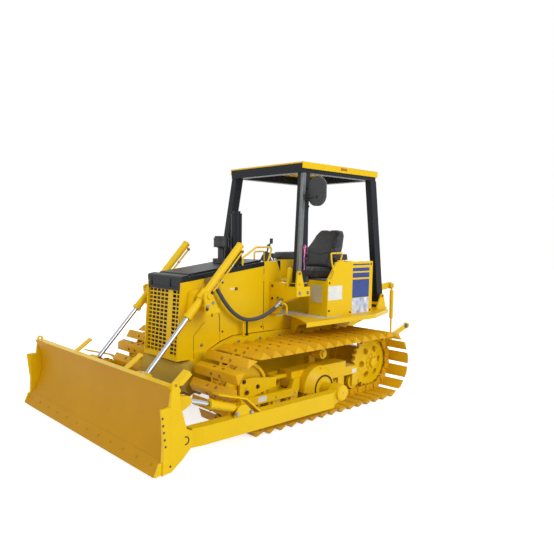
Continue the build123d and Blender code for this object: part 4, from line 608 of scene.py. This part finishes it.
def modelShoe():
    # triangular swamp shoe: a flat foot, two slopes up to a ridge, and bolts let into the slopes
    size, y = shoeSize, track["middleY"]
    half, width = size["base"] / 2, size["width"] / 2
    shoe = addBlock("shoe", (-half, y - width, size["foot"]), (half, y + width, size["top"]))
    pickFaces(shoe, facesUp)
    bpy.ops.transform.resize(
        value=(size["ridge"] / size["base"], 1 - 2 * size["hip"] / size["width"], 1),
        center_override=(0, y, size["top"]))
    leaveEdit()
    roundEdges(shoe, 0.003, 2, 20)
    pieces = [fitPiece(shoe, "shoeYellow")]
    rise, run = size["top"] - size["foot"], half - size["ridge"] / 2
    for x in (-size["boltX"], size["boltX"]):
        normal = Vector((copysign(rise, x), 0, run)).normalized()
        for across in (-size["boltY"], size["boltY"]):
            seat = Vector((x, y + across, size["foot"] + (half - abs(x)) / run * rise))
            # each bolt stands on a disc for a recess; disc and head are coloured as painted shade
            recessShadeDisc = addRound("recessShadeDisc", seat - normal * size["depth"], seat + normal * size["rim"],
                              size["recessShadeDisc"], 12)
            head = addRound("shoeBolt", seat, seat + normal * size["headHeight"], size["head"], 6)
            pieces += [fitPiece(recessShadeDisc, "shoeBoltPaintAndShade"), fitPiece(head, "shoeBoltPaintAndShade")]
    return joinPieces(pieces, "shoeModel")


def modelLink():
    # two stepped side plates with bosses, and the bushing that the sprocket drives
    size, middle = linkSize, track["middleY"]
    hinge, pieces = -track["pitch"] / 2, []
    for side in (-1, 1):
        y = middle + side * size["apart"]
        for low, high, step in ((-size["reach"], size["lap"], -size["step"]),
                                (-size["lap"], size["reach"], size["step"])):
            plate = addBlock("plate", (low, y + side * step - size["plate"], size["low"]),
                             (high, y + side * step + size["plate"], size["high"]))
            roundCorners(plate, 1, size["corner"], 4, beyond=0.05)
            pieces.append(plate)
        pieces.append(addRound("boss", (hinge, y + side * size["bossFrom"], 0),
                               (hinge, y + side * size["bossTo"], 0), size["boss"], 16))
    ends = size["apart"] - size["bushingShort"]
    pieces.append(addRound("bushing", (hinge, middle - ends, 0), (hinge, middle + ends, 0),
                           size["bushing"], 16))
    link = joinPieces(pieces, "linkModel")
    roundEdges(link, 0.0015, 1, 40)
    return fitPiece(link, "shoeYellow")


def buildTracks():
    for model, name in ((modelShoe(), "Shoes"), (modelLink(), "Chain")):
        left = joinPieces([copyPiece(model, name, linkPlace(track["first"] + i))
                           for i in range(track["shoes"])], "left" + name)
        right = copyPiece(left, "right" + name, acrossY)
        for piece, node in ((left, "left_track"), (right, "right_track")):
            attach(piece, "chassis")
            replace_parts(piece, node)
        bpy.data.objects.remove(model)
    print("tracks laid")


buildTracks()


def addPlate(name, low, high, finish, corner, leftOnly=False):
    # thin plate with rounded corners and a soft edge
    plate = addBlock(name, low, high)
    sizes = [b - a for a, b in zip(low, high)]
    roundCorners(plate, sizes.index(min(sizes)), corner, 3)
    roundEdges(plate, 0.0006, 1, 50)
    bothSides(plate, finish, leftOnly=leftOnly)


def addStrand(name, points, radius, finish, body="chassis", leftOnly=False):
    # bead or thin pipe along points, drawn again on the other side
    for end, side in (("Left", 1),) if leftOnly else (("Left", 1), ("Right", -1)):
        piece = addTube(name + end, points, side, radius, "POLY", 3)
        workOn(piece)
        bpy.ops.object.convert(target="MESH")
        fitPiece(bpy.context.object, finish, body, 60)


def addTurned(name, start, end, radius, finish, edge, body="chassis", sides=32, tip=None):
    # turned piece on both sides; edge is the width and the steps of its rounding
    for piece in bothSides(addRound(name, start, end, radius, sides, tip), finish, body):
        roundEdges(piece, *edge)


def softLine(points, steps=8):
    # smooth line through a few corner points
    ends = [points[0]] + list(points) + [points[-1]]
    line = []
    for corners in zip(ends, ends[1:], ends[2:], ends[3:]):
        a, b, c, d = (Vector(corner) for corner in corners)
        for i in range(steps):
            t = i / steps
            line.append(0.5 * ((2 * b) + (c - a) * t + (2 * a - 5 * b + 4 * c - d) * t ** 2
                               + (3 * b - a - 3 * c + d) * t ** 3))
    return line + [Vector(points[-1])]


def arc(x, y, z, radius, start, stop, step):
    # points round a hole that faces the side
    return [(x + radius * cos(radians(a)), y, z + radius * sin(radians(a)))
            for a in range(start, stop, step)]


# joints of the guard's and the covers' sheets: x and z along each, and half its width
coverSide = 0.280
seams = {
    "guardFold": ([(1.007, 0.909), (1.128, 0.793), (1.128, 0.650)], 0.0022),
    "guardJoint": (softLine([(0.900, 1.120), (0.842, 0.960), (0.836, 0.80)]), 0.0022),
    "coverJoint": ([(0.2865, 1.38), (0.2865, 0.77)], 0.0032),
}
# low and high corner, finish and corner radius
plates = {
    "guardSlot": ((0.915, 0.278, 0.948), (0.929, 0.2815, 1.022), "darkGap", 0.006),
    "hasp": ((0.659, 0.279, 1.184), (0.719, 0.284, 1.206), "creamEnamel", 0.006),
    "framePlate": ((0.720, 0.818, 0.238), (0.820, 0.8195, 0.286), "labelWhite", 0.004),
    "framePlateRear": ((-0.575, 0.785, 0.294), (-0.505, 0.7865, 0.340), "labelWhite", 0.004),
}
# blank plates and plain films, on the left side box only
boxPlates = {
    "boxPlate": ((-0.368, 0.737, 1.070), (-0.158, 0.739, 1.212), "labelWhite", 0.010),
    "boxFrontPlate": ((-0.150, 0.516, 1.040), (-0.148, 0.662, 1.216), "plateGrey", 0.008),
}
# corners at the foot of the films on the same box, and the foot, top and finish of each
filmFrom, filmTo = (-0.805, 0.737), (-0.530, 0.7382)
films = {"filmBar": (1.411, 1.426, "filmBlue"), "filmBand": (1.349, 1.385, "filmBlue"),
         "filmBandLow": (1.282, 1.333, "filmBlue"), "filmField": (1.075, 1.264, "filmBlue"),
         "filmFoot": (0.910, 1.070, "filmMottled")}
# start, end, radius, finish, edge, body, sides and the radius of its tip
latchKnob = ((0.640, 0.279, 1.195), (0.640, 0.294, 1.195), 0.017, "brownPlastic", (0.002, 2),
             "chassis", 20, 0.013)
coverHinge = {"x": 0.295, "y": 0.284, "heights": (1.29, 0.84), "half": 0.035, "radius": 0.0065}
stays = {"hoseStayFront": (0.594, "machineYellow"), "hoseStayRear": (0.551, "satinBlack")}
# half length, foot, top, and inner and outer y of a stay's upright and of its foot
stayBlocks = {"upright": (0.010, 0.748, 0.884, 0.336, 0.344),
              "foot": (0.018, 0.746, 0.754, 0.300, 0.350)}
# dark lip round the hole in each trunnion bonnet, and the keeper on the blade's pin: middle, radius
# and degrees of the arc, radius of the bead, body and slot
lips = {"bonnetLip": ((0.088, 0.9305, 0.270, 0.118, -20, 205, 5), 0.009, "chassis", "track_paint"),
        "pinKeeper": ((1.849, 1.2135, 0.246, 0.028, 80, 290, 10), 0.0045, "blade", "worn_steel")}
roofMarker = (-0.611, 0.553, 2.378), (-0.514, 0.558, 2.402)
cornerBit = {"back": 1.990, "inner": 1.1912, "outer": 1.2118, "height": 0.090,
             "cuts": ((0.92, 0, 0.39), (-0.2, 0, -0.98))}
# x, y and z of the countersunk bolts in the side bit and the end plate
flushBolts = {"radius": 0.009, "spots": [
    (2.042, 1.224, 0.448), (2.038, 1.224, 0.396), (2.032, 1.224, 0.346), (2.026, 1.224, 0.294),
    (2.020, 1.224, 0.244), (1.975, 1.212, 0.090)]}


def buildCornerBit():
    # closes the notch at each end of the cutting edge, cut to the edge's slopes
    low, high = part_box("cutting_edge")
    tip = (high[0] - 0.002, 0, low[2] + 0.001)
    bit = addBlock("cornerBit", (cornerBit["back"], cornerBit["inner"], tip[2]),
                   (tip[0], cornerBit["outer"], tip[2] + cornerBit["height"]))
    for away in cornerBit["cuts"]:
        pickFaces(bit)
        bpy.ops.mesh.bisect(plane_co=tip, plane_no=away, use_fill=True, clear_outer=True)
        leaveEdit()
    roundEdges(bit, 0.0015, 1)
    bothSides(bit, "machineYellow", "blade")


def buildPanels():
    for name, (line, radius) in seams.items():
        addStrand(name, [(x, coverSide, z) for x, z in line], radius, "darkGap")
    for name, row in plates.items():
        addPlate(name, *row)
    for name, row in boxPlates.items():
        addPlate(name, *row, leftOnly=True)
    for name, (foot, top, finish) in films.items():
        addPlate(name, (*filmFrom, foot), (*filmTo, top), finish, 0.004, leftOnly=True)
    addTurned("latchKnob", *latchKnob)
    x, y, half = coverHinge["x"], coverHinge["y"], coverHinge["half"]
    for z in coverHinge["heights"]:
        addTurned("hinge", (x, y, z - half), (x, y, z + half), coverHinge["radius"],
                  "machineYellow", (0.001, 1), sides=14)
    for name, (x, finish) in stays.items():
        parts = [addBlock(kind, (x - half, inner, foot), (x + half, outer, top))
                 for kind, (half, foot, top, inner, outer) in stayBlocks.items()]
        for part in parts:
            roundEdges(part, 0.002, 2)
        bothSides(joinPieces(parts, name), finish)
    for name, (line, radius, body, slot) in lips.items():
        addStrand(name, arc(*line), radius, "darkBolt", body)
    buildCornerBit()
    holes = [addRound("flushBolt", (x, y - 0.002, z), (x, y + 0.0001, z), flushBolts["radius"], 14)
             for x, y, z in flushBolts["spots"]]
    bothSides(joinPieces(holes, "flushBolts"), "darkBolt", "blade")
    marker = addBlock("roofMarker", *roofMarker)
    roundEdges(marker, 0.002, 2)
    fitPiece(marker, "markerAmber")
    print("plates and seams on")


buildPanels()

# the lift cylinder's line; what is on it is placed by its distance down from the trunnion
lift = {"trunnion": Vector((1.125, 0.430, 1.170)), "eye": Vector((1.710, 0.430, 0.541))}
feedPipe = {"radius": 0.0085, "off": 0.060,
            "route": [(-0.575, 0.030), (-0.575, 0.052), (-0.560, 0.060), (-0.30, 0.060),
                      (-0.16, 0.058), (-0.09, 0.050), (-0.075, 0.030)],
            "clamps": ((-0.572, "sealRed"), (-0.40, "zincBolt"), (-0.22, "zincBolt"))}
barrelBands = ((-0.596, 0.036), (0.236, 0.041))
# the crimped fittings on the hose: radius of the sleeve and of its ring, where the ring is along
# it, and each one's start and end
fittingSize = {"sleeve": 0.0225, "ring": 0.0255, "ringFrom": 0.2, "ringTo": 0.4}
hoseFittings = {"hoseFittingUpper": ((0.951, 0.344, 1.267), (0.918, 0.345, 1.217)),
                "hoseFittingLower": ((0.232, 0.4415, 1.036), (0.272, 0.430, 1.001))}
wingPipe = [(0.226, 0.470, 1.050), (0.232, 0.520, 1.046), (0.214, 0.534, 1.020),
            (0.212, 0.534, 0.960), (0.20, 0.50, 0.935)]


def onLift(along, off=0.0):
    # point at a distance down the lift cylinder and out behind it
    line = (lift["eye"] - lift["trunnion"]).normalized()
    return lift["trunnion"] + line * along + Vector((line.z, 0, -line.x)) * off


def addCollar(name, along, half, off, radius, sides, steps, width, finish):
    # a ring round the cylinder or round its pipe
    collar = addRound(name, onLift(along - half, off), onLift(along + half, off), radius, sides)
    roundEdges(collar, width, steps)
    bothSides(collar, finish, "lift_barrel_pair")


def buildPipes():
    # steel feed pipe along each lift cylinder, with its clamps, and bands on the barrel
    addStrand("feedPipe", softLine([onLift(*spot) for spot in feedPipe["route"]], 4),
              feedPipe["radius"], "machineYellow", "lift_barrel_pair")
    for along, finish in feedPipe["clamps"]:
        addCollar("clamp", along, 0.012, feedPipe["off"], 0.0135, 12, 1, 0.002, finish)
    for along, radius in barrelBands:
        addCollar("band", along, 0.008, 0, radius, 32, 2, 0.0015, "machineYellow")
    for name, (start, end) in hoseFittings.items():
        start, reach = Vector(start), Vector(end) - Vector(start)
        size = fittingSize
        sleeve = addRound("sleeve", start, start + reach, size["sleeve"], 24)
        ring = addRound("ring", start + reach * size["ringFrom"], start + reach * size["ringTo"],
                        size["ring"], 6)
        fitting = joinPieces([sleeve, ring], name)
        roundEdges(fitting, 0.0015, 2)
        bothSides(fitting, "zincBolt")
    addStrand("wingPipe", softLine(wingPipe, 5), 0.0095, "machineYellow")
    print("pipes laid")


buildPipes()

# start, end, radius, finish, edge, body and sides
caps = {
    "trunnionCap": ((0.088, 1.149, 0.270), (0.088, 1.170, 0.270), 0.072, "machineYellow",
                    (0.005, 3), "push_frame", 48),
    "bladePinHead": ((1.847, 1.134, 0.242), (1.847, 1.146, 0.242), 0.040, "darkBolt", (0.003, 2),
                     "blade"),
    "linkSleeve": ((-2.040, 0.352, 0.600), (-2.040, 0.398, 0.600), 0.026, "couplerBlue",
                   (0.003, 2), "lower_link_pair", 24),
    "rockerSleeve": ((-1.680, 0.382, 1.128), (-1.680, 0.392, 1.128), 0.030, "couplerBlue",
                     (0.002, 2), "rocker", 24),
}
greasePlug = {"start": (0.088, 1.170, 0.270), "end": (0.088, 1.1745, 0.270), "radius": 0.010,
              "sides": 6}
# middle, half height, radius, edge and finish of the bands on upright pipes
precleanerFoot, precleanerTop = [corner[2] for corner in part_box("air_precleaner")]
precleanerHeight = precleanerTop - precleanerFoot
uprightBands = {
    "mufflerBandTop": ((0.387, -0.030, 1.905), 0.006, 0.0565, 0.002, "satinBlack"),
    "mufflerBandLow": ((0.387, -0.030, 1.470), 0.006, 0.0565, 0.002, "satinBlack"),
    "bowlBandLow": ((0.510, -0.120, precleanerFoot + 0.60 * precleanerHeight), 0.004, 0.0785,
                    0.0015, "blackPlastic"),
    "bowlBandTop": ((0.510, -0.120, precleanerFoot + 0.88 * precleanerHeight), 0.004, 0.0785,
                    0.0015, "blackPlastic"),
}
welds = {"bracketWeld": ([(1.145, 1.150, 0.2885), (1.350, 1.150, 0.2885)], 0.0042),
         "armWeld": ([(0.184, 1.1505, 0.150), (0.184, 1.1505, 0.284)], 0.004)}


def buildCaps():
    for name, row in caps.items():
        addTurned(name, *row)
    bothSides(addRound("greasePlug", **greasePlug), "zincBolt", "push_frame")
    for name, ((x, y, z), half, radius, edge, finish) in uprightBands.items():
        band = addRound(name, (x, y, z - half), (x, y, z + half), radius, 40)
        roundEdges(band, edge, 2)
        fitPiece(band, finish)
    for name, (line, radius) in welds.items():
        addStrand(name, line, radius, "machineYellow", "push_frame")
    print("caps and bands on")


buildCaps()

# legs of the pale angle up the left front post, a painted highlight for the light on its rounded
# corner, and how far their tops lean back and inwards
postCornerHighlight = {"legs": (((0.122, 0.6285, 1.262), (0.1625, 0.6325, 2.312)),
                      ((0.1585, 0.598, 1.262), (0.1625, 0.631, 2.312))),
             "lean": (-0.1275, -0.0785, 0)}
# the chequered step beside the left and right boxes
stepPlates = (((-0.148, 0.300, 0.9052), (-0.030, 0.766, 0.9092)),
              ((-0.360, 0.7385, 0.9052), (-0.148, 0.766, 0.9092)))
# middle of each rubber pad between a post's foot and its mount, at the pad's bottom
footPads = {"frontPad": (0.112, 0.592, 1.214), "rearPad": (-1.158, 0.592, 0.927)}
padFrom, padTo = Vector((-0.070, -0.060, 0)), Vector((0.070, 0.0595, 0.030))
# low and high corner, corner radius and finish of the mirror's flat pieces
mirrorPieces = {
    "mirrorGlass": ((-0.0348, 0.602, 1.997), (-0.0328, 0.798, 2.263), 0.088, "mirrorGlass"),
    "mirrorBack": ((-0.0075, 0.622, 2.030), (-0.0035, 0.778, 2.230), 0.070, "blackPlastic"),
}
# x, z and radius of the green collars under the steering lever's grip and at its boot
leverCollars = {"leverCollarTop": (-0.026, 1.590, 0.0205),
                "leverCollarLow": (-0.008, 1.512, 0.030)}


def buildCab():
    # the pale angle up the left front post is a painted highlight for the light on its rounded
    # corner
    legs = []
    for low, high in postCornerHighlight["legs"]:
        leg = addBlock("leg", low, high)
        pickFaces(leg, facesUp)
        bpy.ops.transform.translate(value=postCornerHighlight["lean"])
        leaveEdit()
        roundEdges(leg, 0.0015, 2)
        legs.append(leg)
    fitPiece(joinPieces(legs, "postCornerHighlight"), "postHighlightGrey")
    for name, middle in footPads.items():
        pad = addBlock(name, Vector(middle) + padFrom, Vector(middle) + padTo)
        roundEdges(pad, 0.008, 3)
        bothSides(pad, "blackRubber")
    steps = [addBlock("step", *corners) for corners in stepPlates]
    bothSides(joinPieces(steps, "stepPlate"), "treadPlate")
    for name, (low, high, corner, finish) in mirrorPieces.items():
        oval = addBlock(name, low, high)
        roundCorners(oval, 0, corner, 10)
        if name == "mirrorBack":
            roundEdges(oval, 0.0015, 2)
        fitPiece(oval, finish)
    for name, (x, z, radius) in leverCollars.items():
        collar = addRound(name, (x, 0, z), (x - 0.003, 0, z + 0.014), radius, 24)
        roundEdges(collar, 0.003, 2)
        fitPiece(collar, "collarGreen")
    print("cab fitted")


buildCab()

# pink ribbon tied to the post, which leans and twists a little on its way down from the knot
tag = {"width": 0.024, "length": 0.215, "top": (0.066, 0.612, 1.590), "lean": (0.016, 0.012),
       "twist": (0.9, 2.2), "wave": (0.003, 9), "off": 0.006}


def buildTag():
    ribbon = addShape("tagRibbon", bpy.ops.mesh.primitive_grid_add, x_subdivisions=4,
                      y_subdivisions=28, size=1)
    x, y, z = tag["top"]
    for vertex in ribbon.data.vertices:
        across, share = vertex.co.x * tag["width"], 0.5 - vertex.co.y
        turn = tag["twist"][0] * sin(tag["twist"][1] * share)
        wave = tag["wave"][0] * sin(tag["wave"][1] * share)
        vertex.co = (x + tag["lean"][0] * share + across * cos(turn),
                     y + tag["lean"][1] * share + tag["off"] + wave + across * 0.4 * sin(turn),
                     z - share * tag["length"])
    fitPiece(ribbon, "tagPink", smooth=60)
    knot = addShape("tagKnot", bpy.ops.mesh.primitive_torus_add, rotation=(0.3, 1.2, 0.2),
                    location=(x, y + tag["off"], z + tag["off"]), major_radius=0.013,
                    minor_radius=0.008, major_segments=20, minor_segments=10)
    fitPiece(settle(knot), "tagPink", smooth=60)


buildTag()

cloth = {"pressure": 4.0, "frames": 20, "quality": 5}
# inset is how far a pad starts inside its node's shape, swell is the most that it may grow, and
# drop is how far its foot is let down onto what it rests on
pads = {
    "seat_cushion": {"name": "seatPad", "voxel": 0.0075, "inset": 0.006, "swell": 0.020,
                     "fill": 0.7, "drop": 0.0},
    "seat_back": {"name": "backPad", "voxel": 0.0075, "inset": 0.004, "swell": 0.018,
                  "fill": 0.7, "drop": 0.018},
    "armrests": {"name": "armPads", "voxel": 0.0065, "inset": 0.004, "swell": 0.006,
                 "fill": 0.9, "drop": 0.0},
}
# welt round the cushion's top edge, and the seams of the back
welt = {"inset": 0.020, "steps": 24, "out": 0.03, "spread": 1.1, "radius": 0.0035}
seam = {"foot": 0.05, "lean": 0.22, "apart": 0.135, "bow": 0.035, "short": 0.09, "ahead": 0.02,
        "across": 0.165, "height": 0.20, "sag": 0.03, "radius": 0.003}


def shapePad(shell, look):
    # draws a shell in towards its middle, lets its foot down, and gives it an even skin
    corners = [vertex.co.copy() for vertex in shell.data.vertices]
    low = Vector([min(c[i] for c in corners) for i in range(3)])
    high = Vector([max(c[i] for c in corners) for i in range(3)])
    middle, size = (low + high) / 2, high - low
    for vertex in shell.data.vertices:
        away = vertex.co - middle
        vertex.co = middle + Vector([away[i] * (1 - 2 * min(look["inset"] / size[i], 0.15))
                                     for i in range(3)])
    foot = min(vertex.co.z for vertex in shell.data.vertices)
    for vertex in shell.data.vertices:
        if vertex.co.z < foot + 0.03:
            vertex.co.z -= look["drop"]
    modify(shell, "REMESH", mode="VOXEL", voxel_size=look["voxel"])


def inflate(pad, swell):
    # blows the pad out as cloth; no point moves further than swell
    workOn(pad)
    still = [vertex.co.copy() for vertex in pad.data.vertices]
    skin = pad.modifiers.new("cloth", "CLOTH")
    skin.settings.use_pressure = True
    skin.settings.uniform_pressure_force = cloth["pressure"]
    skin.settings.effector_weights.gravity = 0
    skin.settings.quality = cloth["quality"]
    for number in range(1, cloth["frames"] + 1):
        bpy.context.scene.frame_set(number)
    bpy.ops.object.modifier_apply(modifier=skin.name)
    bpy.context.scene.frame_set(1)
    for vertex, place in zip(pad.data.vertices, still):
        move = vertex.co - place
        if move.length > swell:
            vertex.co = place + move.normalized() * swell


def upholster(node, look):
    name = look["name"]
    pad = copyPiece(nodes[node], name, Matrix.Identity(4))
    pickFaces(pad)
    bpy.ops.mesh.remove_doubles(threshold=0.0001)
    leaveEdit()
    pad.data.materials.clear()
    bpy.ops.mesh.separate(type="LOOSE")
    shells = list(bpy.context.selected_objects)
    for shell in [s for s in shells if min(s.dimensions) < 0.02]:  # a rubber mat, too thin to stuff
        shells.remove(shell)
        shell.name = name + "Mat"
        roundEdges(shell, 0.001, 1)
        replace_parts(fitPiece(shell, "blackRubber"), node)
    for shell in shells:
        shapePad(shell, look)
    pad = joinPieces(shells, name)
    inflate(pad, look["swell"])
    modify(pad, "SMOOTH", factor=0.5, iterations=6)
    modify(pad, "SUBSURF", levels=1, render_levels=1)
    fitPiece(pad, "seatVinyl", smooth=80)
    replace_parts(pad, node)
    return pad


def sewOn(pad, name, points, radius):
    # welt that follows the pad's surface under a line
    line = []
    for point in points:
        _, place, normal, _ = pad.closest_point_on_mesh(Vector(point))
        line.append(place + normal * radius * 0.4)
    addStrand(name, line, radius, "blackRubber", leftOnly=True)


def alongRim(low, high):
    # points round a box's top edge, set in from it
    inset, steps = welt["inset"], welt["steps"]
    left, right = (low[0] + inset, high[0] - inset), (low[1] + inset, high[1] - inset)
    rim = [(left[0], right[0]), (left[1], right[0]), (left[1], right[1]), (left[0], right[1])]
    return [(x0 + (x1 - x0) * i / steps, y0 + (y1 - y0) * i / steps)
            for (x0, y0), (x1, y1) in zip(rim, rim[1:] + rim[:1]) for i in range(steps)]


def buildSeat():
    cushion, back, _ = [upholster(node, look) for node, look in pads.items()]
    low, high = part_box("seat_cushion")
    middle, out = (low[0] + high[0]) / 2, welt["out"]
    sewOn(cushion, "cushionWelt", [
        (x + (out if x > middle else -out), y * welt["spread"], high[2] - welt["inset"])
        for x, y in alongRim(low, high)], welt["radius"])
    # two seams down the back's front face, and one across it
    low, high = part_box("seat_back")
    height, shares = high[2] - low[2] - seam["short"], [i / 30 for i in range(31)]
    for name, side in (("backSeamLeft", 1), ("backSeamRight", -1)):
        sewOn(back, name, [(high[0] + seam["foot"] - seam["lean"] * share,
                            side * (seam["apart"] + seam["bow"] * sin(pi * share)),
                            low[2] + seam["foot"] + height * share)
                           for share in shares], seam["radius"])
    across = seam["across"]
    sewOn(back, "backSeamAcross", [(high[0] + seam["ahead"], across * (2 * share - 1),
                                    low[2] + seam["height"] - seam["sag"] * sin(pi * share))
                                   for share in shares], seam["radius"])
    print("seat upholstered")


buildSeat()

# place, size, power and colour of each lamp, all aimed at the middle of the machine
studio = {"floor": 60.0, "floorGrey": 0.8, "floorGlow": 0.72, "sky": 0.55, "aim": (0.2, 0, 0.8),
          "lamps": {"sideLamp": ((0.5, 9.0, 6.0), 6.0, 540, "#FFFFFF"),
                    "frontLamp": ((9.0, -1.0, 5.0), 5.0, 240, "#FFF4E2"),
                    "backLamp": ((-7.0, -5.0, 5.0), 5.0, 220, "#FFFFFF")}}


def startTree(owner, output):
    # an owner's nodes, cleared: its output, and a mix that is 1 for what the camera sees straight,
    # in metal or through glass
    owner.use_nodes = True
    tree = owner.node_tree
    tree.nodes.clear()
    path = addNode(tree, "LightPath").outputs
    seen = addNode(tree, "Math", None, {0: path["Is Camera Ray"], 1: path["Is Glossy Ray"]},
                   operation="MAXIMUM")
    seen = addNode(tree, "Math", None, {0: seen, 1: path["Is Transmission Ray"]},
                   operation="MAXIMUM")
    mix = addNode(tree, "MixShader", None, {0: seen})
    addNode(tree, output, None, {0: mix})
    return tree, mix


def buildStudio():
    floor = addShape("floor", bpy.ops.mesh.primitive_plane_add, size=studio["floor"],
                     location=(0, 0, 0))
    material = bpy.data.materials.new("paleFloor")
    tree, mix = startTree(material, "OutputMaterial")
    matt = addNode(tree, "BsdfDiffuse", {"Color": [studio["floorGrey"]] * 3 + [1]})
    glow = addNode(tree, "Emission", {"Color": (1, 1, 1, 1), "Strength": studio["floorGlow"]})
    both = addNode(tree, "AddShader", links={0: matt, 1: glow})
    wire(tree, mix, {1: matt, 2: both})
    floor.data.materials.append(material)
    world = bpy.data.worlds.new("studio")
    bpy.context.scene.world = world
    tree, mix = startTree(world, "OutputWorld")
    sky = addNode(tree, "Background", {"Color": (1, 1, 1, 1), "Strength": studio["sky"]})
    white = addNode(tree, "Background", {"Color": (1, 1, 1, 1), "Strength": 1.0})
    wire(tree, mix, {1: sky, 2: white})
    for name, (place, size, power, tint) in studio["lamps"].items():
        lamp = addObject(name, bpy.data.lights.new(name, "AREA"))
        lamp.data.size, lamp.data.energy, lamp.data.color = size, power, toLinear(tint)[:3]
        lamp.location = place
        aimed = (Vector(studio["aim"]) - Vector(place)).to_track_quat("-Z", "Y")
        lamp.rotation_euler = aimed.to_euler()
    bpy.context.scene.view_settings.view_transform = "Standard"


buildStudio()
print("studio lit")
